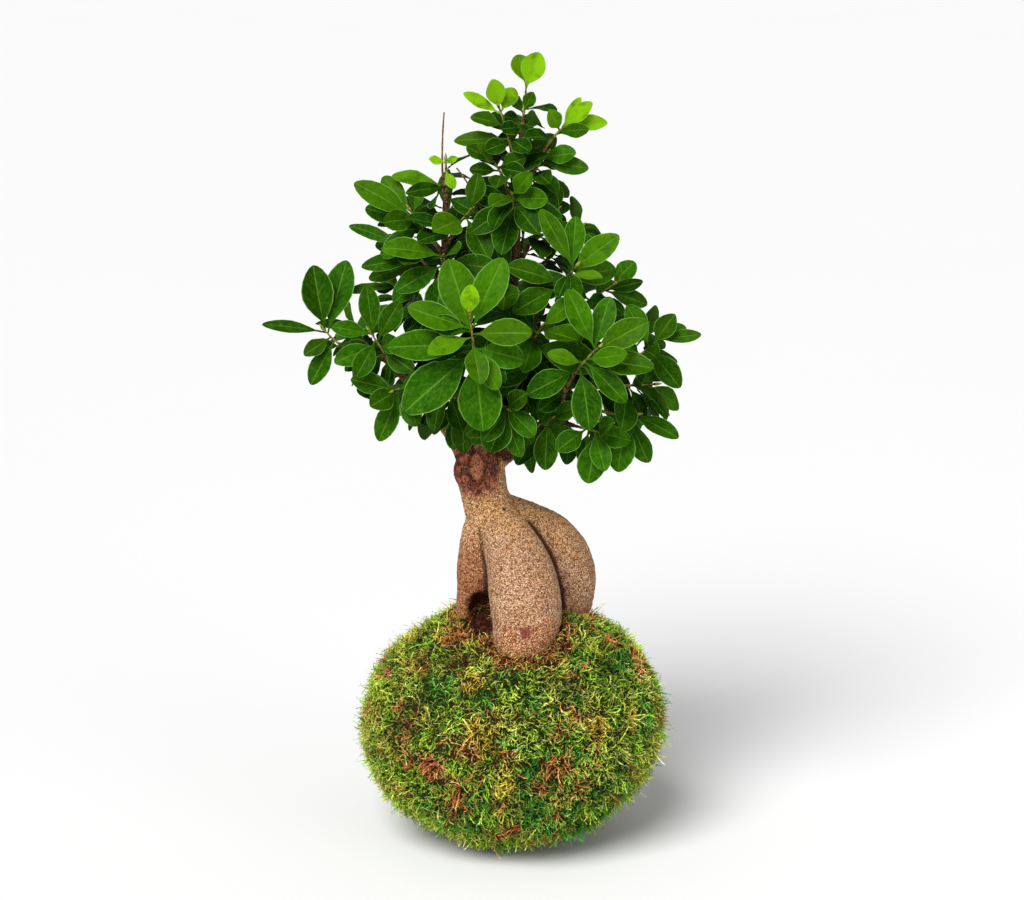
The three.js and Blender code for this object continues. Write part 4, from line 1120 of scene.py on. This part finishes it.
# The green part of a shoot's stem, with a bud at its end.
def makeStem(shoot, draw):
    curve = shootCurve(shoot)
    slope = np.linalg.norm(curveSlope(curve, shoot["wood"]))
    t = np.linspace(shoot["wood"] + leafSettings["stemGap"] / slope, 1, 12)
    path = curvePoint(curve, t)
    ahead = unit(curveSlope(curve, 1))
    bud = np.array([path[-1] + ahead * leafSettings["budLength"] * k for k in leafSettings["budPlaces"]])
    path = np.vstack([path, bud])
    radii = between(leafRule["stemRadii"], t) * (1 + 0.12 * np.sin(t * 70))
    stem = addTube("stem", path, [*radii, *leafSettings["budRadii"]], leafSettings["stemSides"])
    toTip = lengths(pointsOf(stem.data) / mm - path[-1])
    youth = np.maximum(smoothStep(9, 2, toTip), 0.4 * smoothStep(40, 10, toTip))
    addNumbers(stem.data, wood=1, youth=youth, vary=draw.uniform())
    addNumbers(stem.data, "FACE", underside=0)
    freshMap(stem.data)
    return stem


def makeShoot(shoot, leaves, blade, draw):
    parts = [makeStem(shoot, draw)]
    flat = pointsOf(blade.data)
    for leaf in leaves:
        copied = blade.data.copy()
        movePoints(copied, bladePoints(leaf, flat, draw) * mm)
        # Leaves inside the crown are painted darker, as painted shade; so are the filled-in leaves, through
        # their low youth.
        fromMiddle = np.linalg.norm((leaf["root"] + leaf["heading"] * 12 - fillRule["middle"])[:2])
        outer = smoothStep(*leafSettings["outerFrom"], fromMiddle)
        vary = draw.uniform() * (0.2 + 0.8 * outer) * min(1, leaf["youth"] * 8)
        addNumbers(copied, wood=0, youth=leaf["youth"], vary=vary)
        parts.append(addObject("leaf", copied))
    piece = joinPieces(parts, shoot["name"].replace("shoot", "leaves"))
    bpy.ops.object.shade_smooth()
    return piece


leafColours = {
    "mature": (0.014, 0.098, 0.0006),
    "deep": (0.003, 0.026, 0.0003),
    "young": (0.19, 0.42, 0.002),
    "mottle": (0.085, 0.24, 0.003),
    "shade": (0.003, 0.022, 0.0003),
    "vein": (0.13, 0.29, 0.022),
    "rim": (0.17, 0.36, 0.06),
    "under": (0.04, 0.10, 0.012),
    "stem": (0.22, 0.15, 0.05),
    "stemDark": (0.08, 0.04, 0.016),
    "stemYoung": (0.28, 0.34, 0.04),
}


def makeLeafMaterial():
    leaf = Recipe("leaf", leafColours)
    flat = leaf.add("UVMap", 0, {}, uv_map="leafMap")
    across, along = (leaf.add("SeparateXYZ", axis, {0: flat}) for axis in "XY")
    side = leaf.times(leaf.math("ABSOLUTE", leaf.math("SUBTRACT", across, 0.5)), 2)
    youth, vary, under, wood = (leaf.number(name) for name in ("youth", "vary", "underside", "wood"))
    cloudy = leaf.times(leaf.noise(55, 3), leaf.plus(leaf.times(vary, 0.38), 0.22))
    leaf.paint = leaf.mix(leaf.plus(leaf.times(vary, 0.6), cloudy, clamp=True), "deep", "mature")
    leaf.cover(leaf.math("POWER", youth, 1.6), "young")
    slant = leaf.math("SUBTRACT", leaf.times(along, 12), leaf.times(side, 3.1))
    slant = leaf.plus(slant, leaf.times(leaf.noise(90, 2), 1.2))
    saw = leaf.math("ABSOLUTE", leaf.math("SUBTRACT", leaf.math("FRACT", slant), 0.5))
    sideVeins = leaf.times(leaf.fade(saw, 0.10, 0.015), leaf.fade(side, 1, 0.7))
    sideVeins = leaf.times(sideVeins, leaf.fade(leaf.noise(170, 2), 0.36, 0.6))
    midrib = leaf.fade(side, leaf.plus(0.04, leaf.times(along, 0.05)), 0.012)
    spots = leaf.fade(leaf.noise(330, 4, 0.65), 0.42, 0.68)
    leaf.cover(spots, "mottle", leaf.plus(leaf.times(vary, 0.24), 0.16))
    leaf.cover(leaf.fade(leaf.noise(110, 3, 0.6), 0.48, 0.72), "shade", 0.5)
    leaf.cover(sideVeins, "vein", 0.26)
    leaf.cover(midrib, "vein", 0.5)
    leaf.cover(leaf.fade(side, 0.91, 0.98), "rim", 0.7)
    leaf.cover(under, "under", 0.6)
    stem = leaf.mix(youth, "stem", "stemYoung")
    leaf.cover(wood, leaf.mix(leaf.fade(leaf.noise(420, 3), 0.5, 0.62), stem, "stemDark"))
    rough = leaf.plus(0.44, leaf.times(under, 0.25))
    rough = leaf.plus(rough, leaf.times(wood, 0.35), clamp=True)
    leaf.set(Base_Color=leaf.paint, Roughness=rough, Specular_IOR_Level=0.03)
    ridge = leaf.plus(leaf.times(sideVeins, 0.6), midrib)
    leaf.bump(leaf.plus(leaf.times(ridge, -1), leaf.times(leaf.noise(230, 3), 0.8)), 0.45, 0.0004)
    return leaf.material


leafMaterial = makeLeafMaterial()
blade = modelBlade()
crown = growCrown()
leafDraw = np.random.default_rng(leafSettings["seed"])
for number, shoot in enumerate(leafyShoots):
    own = [leaf for leaf, home in zip(crown.leaves, crown.shoots) if home == number]
    piece = makeShoot(shoot, own, blade, leafDraw)
    paintWith(piece, leafMaterial)
    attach(piece, "root")
    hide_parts(shoot["name"])
bpy.data.objects.remove(blade)
print("crown:", len(crown.leaves), "leaves on", len(leafyShoots), "shoots")

# The moss: a dark cushion and thousands of small fronds rooted in it
mossRule = {
    "radius": 102,
    "halfHeight": 84,
    "centreHeight": 80,
    "tilt": -0.09,
    "lumpHeight": 2.2,
    "cushionInset": 4.6,
    "cushionFloor": 0.4,
    "tufts": 900,
    "tuftReach": 6,
    "greenWay": [0.55, -0.1, -0.6],
    "dipAt": [-20, -20],  # the hollow between the roots
    "dipDepth": 10,
    "dipSize": [9.5, 20],
    "fronds": 46000,
    "pieces": 5,
    "seam": 0.625,  # where the first piece starts round the ball, as a share of a turn
    "frondInset": 4.2,
    "frondFloor": 0.35,
    "length": [2.6, 5.6],
    "reach": [0.38, 0.7],
    "rise": [16, 66],  # of the fronds from the ball, in degrees
    "lowRise": [4, 30],  # the same for those under lowHeight
    "lowHeight": 14,
    "longer": 0.6,  # how much longer the fronds of some tufts are, so that the ball's edge is shaggy
    "brownTufts": 0.09,  # share of all tufts
    "ownKind": 0.34,  # share of fronds whose kind isn't that of their tuft
    "spotShare": 0.95,
    "spotGlow": 1.45,
    "footWidth": 9.5,  # of the dark moss round the roots
    "footShare": 0.9,
    "footGlow": 1.3,
    "footKinds": ("brown", "rust", "brown", "gold"),
    "segments": 4,
    "spine": 0.24,
    "leaflet": 0.88,
    "leafletLift": [0.45, -0.1],
    "taper": 0.55,
    "seed": 41,
}

# Spots of other moss: direction from the ball's middle, radius and kind
mossSpots = [
    (-0.17, -0.95, 0.27, 9.8, "gold"), (-0.19, -0.74, 0.64, 7.2, "gold"),
    (-0.53, -0.85, 0.00, 7.8, "rust"), (-0.29, -0.95, 0.16, 5.2, "rust"),
    (-0.67, -0.75, 0.01, 5.9, "brown"), (-0.73, -0.57, 0.38, 5.2, "rust"),
    (0.57, -0.80, 0.18, 7.8, "gold"), (0.79, -0.59, 0.17, 5.2, "gold"),
    (0.27, -0.96, -0.04, 8.5, "brown"), (-0.06, -0.99, -0.15, 7.2, "gold"),
    (-0.02, -0.80, -0.59, 5.9, "brown"), (-0.38, -0.88, -0.29, 5.2, "brown"),
    (0.71, -0.23, 0.67, 5.9, "rust"), (0.88, -0.15, 0.45, 6.5, "rust"), (0.40, -0.84, 0.38, 3.2, "brown"),
    (0.53, -0.84, -0.09, 4.5, "brown"), (-0.31, -0.36, 0.88, 11.7, "brown"),
    (-0.77, -0.24, 0.59, 4.5, "rust"), (0.31, -0.92, 0.23, 3.2, "rust"),
    (0.17, -0.97, -0.19, 3.9, "brown"), (-0.43, -0.71, 0.55, 9.1, "deep"),
    (0.11, -0.99, -0.01, 6.5, "deep"), (0.12, -0.89, -0.44, 9.1, "deep"),
    (-0.17, -0.84, 0.51, 5.2, "deep"), (-0.62, -0.08, 0.78, 5.9, "gold"), (0.55, 0.80, 0.22, 9.0, "gold"),
    (-0.60, 0.75, 0.28, 8.0, "rust"), (0.05, 0.98, -0.10, 9.0, "brown"),
    (-0.95, 0.15, -0.15, 8.0, "gold"), (0.93, 0.30, -0.20, 7.0, "brown"),
    (0.20, 0.62, 0.75, 9.0, "brown"), (-0.25, 0.90, -0.35, 7.0, "deep"),
]

# Each kind of frond: its colours at root and tip, and its share of the fronds that don't follow their tuft.
# The bright tips are partly the moss's own fresh colour and partly painted highlight.
frondKinds = {
    "bright": [(0.009, 0.028, 0.0008), (0.50, 0.80, 0.060), 0.34],
    "deep": [(0.003, 0.016, 0.0008), (0.12, 0.44, 0.050), 0.28],
    "olive": [(0.022, 0.024, 0.0010), (0.84, 0.82, 0.13), 0.10],
    "gold": [(0.22, 0.085, 0.003), (1.0, 0.74, 0.10), 0.03],
    "rust": [(0.080, 0.014, 0.004), (1.0, 0.32, 0.12), 0.02],
    "brown": [(0.040, 0.010, 0.002), (0.80, 0.30, 0.09), 0.04],
    # The pale kind's tips are painted highlights.
    "pale": [(0.030, 0.045, 0.003), (0.84, 0.98, 0.27), 0.19],
}
kindOf = {name: index for index, name in enumerate(frondKinds)}


def leanOver(points):
    sine, cosine = math.sin(mossRule["tilt"]), math.cos(mossRule["tilt"])
    x, y, z = points.T
    return np.stack([x * cosine + z * sine, y, -x * sine + z * cosine], axis=1)


# Points of the lumpy, leaning oval for directions from its middle, and the way out there.
def onBall(ways, inset, lumpHeight=mossRule["lumpHeight"]):
    x, y, z = ways.T
    lump = np.sin(5.3 * x + 1.7) * np.sin(4.7 * y + 0.4) * np.sin(6.1 * z + 2.1)
    lump += 0.5 * np.sin(9.1 * x + 0.3) * np.sin(8.3 * y + 1.9)
    wide, high = mossRule["radius"], mossRule["halfHeight"]
    radius = wide - inset + lumpHeight * lump
    height = high - inset + lumpHeight * lump
    points = leanOver(ways * np.stack([radius, radius, height], axis=1))
    return points + [0, 0, mossRule["centreHeight"]], leanOver(unitRows(ways / [wide, wide, high]))


# How deep the hollow between the roots is at some points.
def dipOf(points):
    away = lengths((points[:, :2] - mossRule["dipAt"]) / mossRule["dipSize"])
    return np.where(points[:, 2] > 100, mossRule["dipDepth"] * np.exp(-away ** 4), 0)


# Even directions all round, each moved a little by chance.
def spreadWays(count, draw, jitter):
    index = np.arange(count) + 0.5
    height = 1 - 2 * index / count
    around = index * math.pi * (3 - math.sqrt(5))
    flat = np.sqrt(1 - height ** 2)
    ways = np.stack([flat * np.cos(around), flat * np.sin(around), height], axis=1)
    return unitRows(ways + draw.normal(size=ways.shape) * jitter / math.sqrt(count))


def makeCushion():
    clearSelection()
    bpy.ops.mesh.primitive_ico_sphere_add(subdivisions=5, radius=1)
    cushion = takeNew("mossCushion")
    points, outward = onBall(unitRows(pointsOf(cushion.data)), mossRule["cushionInset"])
    dip = dipOf(points)
    bumps = 1.3 * ripple(points, 16, 21) + 0.8 * ripple(points, 6, 22) - dip
    movePoints(cushion.data, (points + outward * bumps[:, None]) * mm)
    nearRoots = smoothStep(12, 5, outsideRoots(points).min(0))
    inDip = smoothStep(0.1, 0.4, dip / mossRule["dipDepth"])
    addNumbers(cushion.data, peat=np.maximum(nearRoots, inDip))
    editMode("VERT")
    bpy.ops.mesh.select_all(action="SELECT")
    low = (0, 0, mossRule["cushionFloor"] * mm)
    bpy.ops.mesh.bisect(plane_co=low, plane_no=(0, 0, 1), use_fill=True, clear_inner=True)
    objectMode()
    bpy.ops.object.shade_smooth()
    return cushion


# One frond: a thin spine with a pointed leaflet on each side of each of its segments. It is 1 long.
def modelFrond():
    segments, half = mossRule["segments"], mossRule["spine"] / 2
    clearSelection()
    bpy.ops.mesh.primitive_grid_add(x_subdivisions=1, y_subdivisions=segments, size=1, location=(0, 0.5, 0))
    bpy.ops.object.transform_apply(location=True)
    frond = takeNew("frond")
    editMode("VERT")
    bpy.ops.mesh.select_all(action="SELECT")
    bpy.ops.transform.resize(value=(mossRule["spine"], 1, 1), center_override=(0, 0, 0))
    for side in (-1, 1):
        for segment in range(segments):
            low, high = segment / segments - 0.01, (segment + 1) / segments + 0.01
            selectWhere(
                frond,
                lambda p: (np.abs(p[:, 0] - side * half) < 0.01) & (p[:, 1] > low) & (p[:, 1] < high),
                "EDGE",
            )
            lift = mossRule["leafletLift"][0 if (segment + (side > 0)) % 2 else 1]
            shrink = 1 - mossRule["taper"] * (segment / segments) ** 2
            move = (side * mossRule["leaflet"] * shrink, 0.9 / segments, lift * shrink)
            bpy.ops.mesh.extrude_edges_move(TRANSFORM_OT_translate={"value": move})
            bpy.ops.mesh.merge(type="CENTER")
    objectMode()
    points = pointsOf(frond.data)
    points[:, 0] *= np.where(np.abs(points[:, 0]) < half + 0.01, 1 - 0.8 * points[:, 1], 1)
    movePoints(frond.data, points)
    return frond


# Which kind each frond is, how bright that makes it, and its reach, less in spots and by the roots.
def chooseKinds(draw, roots, home, toRoot, tuftPoints, reach):
    tufts, count = len(tuftPoints), len(roots)
    # Greener to the right and below, yellower at the upper left.
    tone = (tuftPoints @ np.array(mossRule["greenWay"])) / 100 + 0.35 * ripple(tuftPoints, 45, 34)
    chance = draw.uniform(size=tufts)
    tuftKind = np.where(chance < 0.38 + 0.32 * tone, kindOf["deep"], kindOf["bright"])
    tuftKind = np.where(chance > 0.78 + 0.16 * tone, kindOf["olive"], tuftKind)
    tuftKind = np.where(draw.uniform(size=tufts) < mossRule["brownTufts"], kindOf["brown"], tuftKind)
    alone = draw.uniform(size=count) < mossRule["ownKind"]
    ownKind = draw.choice(len(frondKinds), count, p=[share for _, _, share in frondKinds.values()])
    kind = np.where(alone, ownKind, tuftKind[home])
    glow = np.ones(count)
    for *way, radius, name in mossSpots:
        spot = onBall(unitRows(np.array([way])), mossRule["frondInset"], 0)[0][0]
        away = lengths(roots - spot) + 3.5 * ripple(roots, 12, 31)
        hit = (away < 1.12 * radius) & (draw.uniform(size=count) < mossRule["spotShare"])
        kind = np.where(hit, kindOf[name], kind)
        reach = np.where(hit, reach * 0.8, reach)
        glow = np.where(hit & (name != "deep"), mossRule["spotGlow"], glow)
    foot = toRoot < mossRule["footWidth"] + 4 * ripple(roots, 14, 32)
    foot = foot & (draw.uniform(size=count) < mossRule["footShare"])
    glow = np.where(foot, mossRule["footGlow"], glow)
    kind = np.where(foot, draw.choice([kindOf[name] for name in mossRule["footKinds"]], count), kind)
    return kind, glow, np.where(foot, reach * 0.45, reach)


# The points and colours of all fronds. Those of one tuft lean, and differ from others, together.
def plantFronds(frond):
    draw = np.random.default_rng(mossRule["seed"])
    tuftWays = spreadWays(mossRule["tufts"], draw, 0.9)
    tuftPoints, _ = onBall(tuftWays, mossRule["frondInset"])
    tuftLean = draw.normal(size=tuftPoints.shape)
    ways = spreadWays(mossRule["fronds"], draw, 0.8)
    roots, outward = onBall(ways, mossRule["frondInset"])
    home = np.argmax(ways @ tuftWays.T, axis=1)
    toRoot = outsideRoots(roots).min(0)
    dip = dipOf(roots)
    roots = roots - outward * dip[:, None]
    kept = (toRoot > -2) & (outward[:, 2] > -0.98) & (dip < 0.4 * mossRule["dipDepth"])
    roots, outward, home, toRoot = roots[kept], outward[kept], home[kept], toRoot[kept]
    count = len(roots)

    fromTuft = roots - tuftPoints[home]
    fromMiddle = lengths(fromTuft) / mossRule["tuftReach"]
    lean = 0.22 * fromTuft + 0.75 * draw.normal(size=(count, 3)) + 0.5 * tuftLean[home] + [0, 0, -0.25]
    lean += 0.5 * np.array([0, -1, 0]) * (toRoot < 4)[:, None]
    lean = unitRows(lean - outward * (lean * outward).sum(1)[:, None])
    rise, lowRise = (np.radians(draw.uniform(*mossRule[name], count)) for name in ("rise", "lowRise"))
    rise = np.where(roots[:, 2] < mossRule["lowHeight"], lowRise, rise)
    ahead = outward * np.sin(rise)[:, None] + lean * np.cos(rise)[:, None]
    curl = unitRows(draw.normal(size=(count, 3))) * 0.8 - outward * 0.25 + [0, 0, -0.06]
    length = draw.uniform(*mossRule["length"], count) * np.clip(1.3 - 0.5 * fromMiddle, 0.7, 1.3)
    longer = smoothStep(0.35, 0.8, ripple(tuftPoints, 13, 35))[home] * (toRoot > 6)
    length *= 1 + mossRule["longer"] * longer
    reach = draw.uniform(*mossRule["reach"], count)
    kind, glow, reach = chooseKinds(draw, roots, home, toRoot, tuftPoints, reach)

    shape = pointsOf(frond.data)
    along = shape[:, 1]
    spine = ahead[:, None] * along[None, :, None] + curl[:, None] * (along ** 2)[None, :, None]
    spine += np.cross(ahead, curl)[:, None] * 0.22 * np.sin(2 * math.pi * along)[None, :, None]
    across = unitRows(np.cross(ahead, unitRows(draw.normal(size=(count, 3)) + outward * 0.6)))
    spread = across[:, None] * shape[None, :, :1] + np.cross(across, ahead)[:, None] * shape[None, :, 2:]
    points = roots[:, None] + length[:, None, None] * spine + reach[:, None, None] * spread
    points[..., 2] = np.maximum(points[..., 2], mossRule["frondFloor"])

    base, tip = (np.array([row[end] for row in frondKinds.values()])[kind] for end in (0, 1))
    bright = glow * draw.uniform(0.45, 1.35, count)
    bright *= 0.6 + 0.75 * draw.uniform(size=mossRule["tufts"])[home]
    # Fronds are painted brighter in a tuft's middle and darker towards its edge, as painted shade between the
    # tufts.
    bright *= np.clip(1.5 - 0.6 * fromMiddle, 0.5, 1.4) * (1 + 0.35 * ripple(roots, 17, 33))
    share = np.minimum(1, np.clip(along, 0, 1) ** 1.2 + 0.25 * (np.abs(shape[:, 0]) > 0.3))
    colours = base[:, None] + (tip - base)[:, None] * share[None, :, None]
    return points, np.clip(colours * bright[:, None, None], 0, 1)


def makeFronds(frond):
    points, colours = plantFronds(frond)
    faces = [list(face.vertices) for face in frond.data.polygons]
    size = len(frond.data.vertices)
    # Parted by sectors of the ball, so that each piece is one side of it.
    middle = points.mean(1)
    turn = (np.arctan2(middle[:, 1], middle[:, 0]) / (2 * math.pi) + mossRule["seam"]) % 1
    sector = (turn * mossRule["pieces"]).astype(int)
    made = []
    for number in range(mossRule["pieces"]):
        own = points[sector == number]
        mesh = bpy.data.meshes.new("mossFronds")
        allFaces = [[i + size * k for i in face] for k in range(len(own)) for face in faces]
        mesh.from_pydata((own.reshape(-1, 3) * mm).tolist(), [], allFaces)
        tint = mesh.color_attributes.new("frondTint", "FLOAT_COLOR", "POINT")
        rows = np.ones((len(own) * size, 4), dtype=np.float32)
        rows[:, :3] = colours[sector == number].reshape(-1, 3)
        tint.data.foreach_set("color", rows.ravel())
        made.append(addObject(f"mossFronds{number + 1}", mesh))
    return made


mossColours = {
    "spot": (0.6, 0.62, 0.5),
    "earth": (0.010, 0.014, 0.002),
    "earthLight": (0.030, 0.018, 0.005),
    "thread": (0.04, 0.06, 0.008),
    "peat": (0.022, 0.005, 0.003),
    "peatLight": (0.11, 0.035, 0.014),
}


def makeFrondMaterial():
    moss = Recipe("frond", mossColours)
    tint = moss.add("Attribute", "Color", {}, attribute_name="frondTint")
    spots = moss.fade(moss.noise(650, 2), 0.35, 0.68)
    colour = moss.mix(moss.times(spots, 0.55), tint, "spot", "MULTIPLY")
    moss.set(Base_Color=colour, Roughness=0.7, Specular_IOR_Level=0.08)
    moss.bump(moss.noise(900, 2), 0.4, 0.0002)
    return moss.material


def makeCushionMaterial():
    moss = Recipe("cushion", mossColours)
    moss.paint = moss.mix(moss.fade(moss.noise(60, 3), 0.4, 0.6), "earth", "earthLight")
    threads = moss.noise(420, 4, 0.7)
    moss.cover(moss.fade(threads, 0.5, 0.65), "thread")
    moss.cover(moss.number("peat"), moss.mix(moss.fade(threads, 0.46, 0.62), "peat", "peatLight"))
    moss.set(Base_Color=moss.paint, Roughness=0.95, Specular_IOR_Level=0.1)
    moss.bump(threads, 1.0, 0.002)
    return moss.material


cushion = makeCushion()
paintWith(cushion, makeCushionMaterial())
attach(cushion, "root")
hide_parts("moss_wrap")
frondMaterial = makeFrondMaterial()
frond = modelFrond()
for piece in makeFronds(frond):
    paintWith(piece, frondMaterial)
    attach(piece, "root")
    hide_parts("moss_wrap")
    print("moss:", piece.name, len(piece.data.polygons), "faces")
bpy.data.objects.remove(frond)

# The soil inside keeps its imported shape
soilColours = {"dark": (0.020, 0.012, 0.007), "light": (0.085, 0.05, 0.028), "fibre": (0.16, 0.09, 0.045)}


def makeSoil():
    soil = Recipe("soil", soilColours)
    crumbs = soil.noise(260, 5, 0.7)
    soil.paint = soil.mix(soil.fade(crumbs, 0.4, 0.65), "dark", "light")
    fibres = soil.noise(1, 3, 0.6, soil.stretched(900, 250, 250))
    soil.cover(soil.fade(fibres, 0.6, 0.68), "fibre")
    soil.set(Base_Color=soil.paint, Roughness=0.95)
    soil.bump(crumbs, 0.9, 0.002)
    return soil.material


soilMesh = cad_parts["soil_ball"].data
soilMaterial = makeSoil()
for place in range(len(soilMesh.materials)):
    soilMesh.materials[place] = soilMaterial
if not soilMesh.materials:
    soilMesh.materials.append(soilMaterial)
print("soil: dressed")

# Floor, light and camera, in metres
studio = {
    "floorRadius": 26.0,
    "floorColour": (0.93, 0.93, 0.93),
    "floorShade": (0.915, 0.915, 0.915),
    "world": 0.31,
    "sun": 3.6,
    "sunFrom": (-0.46, -1.0, 0.98),
    "sunSpread": 34,  # degrees
    "fill": 7,
    "fillFrom": (1.3, -1.5, 0.7),
    "fillSize": 1.0,
    "fillTarget": (0, 0, 0.25),
    "target": (0, 0, 0.263),
    "elevation": 12,
    "distance": 1.8,
    "lens": 97.3,
}


def makeFloor():
    clearSelection()
    bpy.ops.mesh.primitive_circle_add(vertices=64, radius=studio["floorRadius"], fill_type="NGON")
    floor = takeNew("floor")
    paint = Recipe("floor")
    colour = paint.mix(paint.noise(2, 2), studio["floorColour"], studio["floorShade"])
    paint.set(Base_Color=colour, Roughness=0.8, Specular_IOR_Level=0.1)
    paintWith(floor, paint.material)


def addLamp(name, kind, place, target, energy):
    bpy.ops.object.light_add(type=kind, location=place)
    lamp = bpy.context.active_object
    lamp.name = name
    lamp.data.energy = energy
    lamp.rotation_euler = (Vector(target) - Vector(place)).to_track_quat("-Z", "Y").to_euler()
    return lamp.data


def makeLights():
    world = bpy.data.worlds.new("studio")
    world.use_nodes = True
    background = world.node_tree.nodes["Background"]
    background.inputs["Color"].default_value = (1, 1, 1, 1)
    background.inputs["Strength"].default_value = studio["world"]
    bpy.context.scene.world = world
    sun = addLamp("sun", "SUN", studio["sunFrom"], (0, 0, 0), studio["sun"])
    sun.angle = math.radians(studio["sunSpread"])
    fill = addLamp("fill", "AREA", studio["fillFrom"], studio["fillTarget"], studio["fill"])
    fill.size = studio["fillSize"]


def makeCamera():
    angle = math.radians(studio["elevation"])
    target = Vector(studio["target"])
    back = Vector((0, -math.cos(angle), math.sin(angle)))
    bpy.ops.object.camera_add(location=target + back * studio["distance"])
    camera = bpy.context.active_object
    camera.rotation_euler = (-back).to_track_quat("-Z", "Y").to_euler()
    camera.data.lens = studio["lens"]
    camera.data.sensor_width = 36
    camera.data.clip_end = 100
    bpy.context.scene.camera = camera
    bpy.context.scene.view_settings.view_transform = "Standard"


makeFloor()
makeLights()
makeCamera()
clearSelection()
